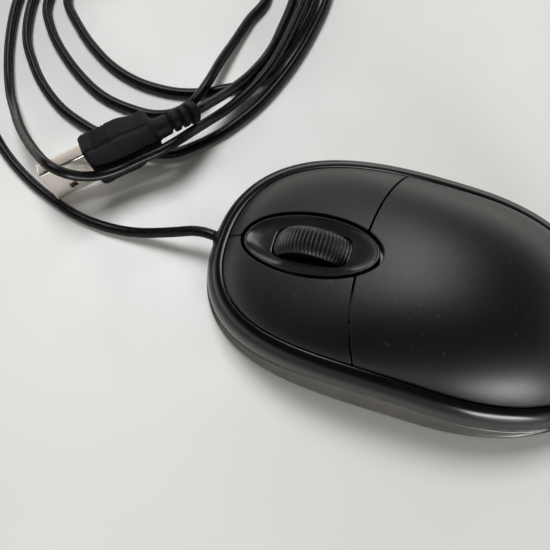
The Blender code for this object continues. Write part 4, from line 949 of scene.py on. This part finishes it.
make_palm_cover()
make_key("left", -1)
make_key("right", 1)
make_band()
make_base()
make_bezel()
make_tyre()
plug_pieces = [make_overmold(), make_plug_shell(), frame["nodes"]["plug_tongue"],
               frame["nodes"]["plug_contacts"], make_grommet()]

# ---------------------------------------------------------------- floor and light


def make_floor():
    look = Finish("table_top", (0.80, 0.795, 0.77), 0.38).mottle(0.09, 0.015).handled(0.02, 0.05)
    bpy.ops.mesh.primitive_grid_add(x_subdivisions=8, y_subdivisions=8, size=3.0, location=(0, 0, 0))
    floor = bpy.context.object
    floor.name = "table"
    floor.data.materials.append(look.material)


def area_light(name, towards, distance, size, power, colour=(1.0, 1.0, 1.0), aim=(0.0, 0.03, 0.01)):
    """A soft light in a direction from the mouse."""
    data = bpy.data.lights.new(name, "AREA")
    data.shape = "RECTANGLE"
    data.size, data.size_y = size
    data.energy = power
    data.color = colour
    lamp = bpy.data.objects.new(name, data)
    lamp.location = Vector(aim) + Vector(towards).normalized() * distance
    lamp.rotation_euler = (Vector(aim) - lamp.location).to_track_quat("-Z", "Y").to_euler()
    bpy.context.scene.collection.objects.link(lamp)


def make_world(colour, low, high, bright_side, far_share):
    """Light from all round, bright near the table's height on one side and dim overhead."""
    world = bpy.data.worlds.new("studio")
    world.use_nodes = True
    tree = world.node_tree
    back = tree.nodes["Background"]
    back.inputs["Color"].default_value = (*colour, 1.0)
    direction = tree.nodes.new("ShaderNodeTexCoord").outputs["Generated"]
    split = tree.nodes.new("ShaderNodeSeparateXYZ")
    tree.links.new(direction, split.inputs["Vector"])
    grade = tree.nodes.new("ShaderNodeMapRange")
    for name, value in (("From Min", 0.0), ("From Max", 0.5), ("To Min", low), ("To Max", high)):
        grade.inputs[name].default_value = value
    tree.links.new(split.outputs["Z"], grade.inputs["Value"])
    side = tree.nodes.new("ShaderNodeVectorMath")
    side.operation = "DOT_PRODUCT"
    side.inputs[1].default_value = bright_side
    tree.links.new(direction, side.inputs[0])
    fall = tree.nodes.new("ShaderNodeMapRange")
    for name, value in (("From Min", -1.0), ("From Max", 1.0), ("To Min", far_share), ("To Max", 1.0)):
        fall.inputs[name].default_value = value
    tree.links.new(side.outputs["Value"], fall.inputs["Value"])
    product = tree.nodes.new("ShaderNodeMath")
    product.operation = "MULTIPLY"
    tree.links.new(grade.outputs["Result"], product.inputs[0])
    tree.links.new(fall.outputs["Result"], product.inputs[1])
    tree.links.new(product.outputs["Value"], back.inputs["Strength"])
    bpy.context.scene.world = world


make_floor()
make_world(colour=(1.0, 0.965, 0.91), low=5.0, high=0.02, bright_side=(0.93, 0.30, 0.20), far_share=0.16)
area_light("ceiling_panel", towards=(0.37, 0.26, 0.89), distance=1.3, size=(0.56, 0.56), power=11.0,
           colour=(0.97, 0.985, 1.0))
area_light("window_low", towards=(-0.73, -0.67, 0.14), distance=0.9, size=(0.42, 0.26), power=8.0)
bpy.context.scene.view_settings.view_transform = "Standard"
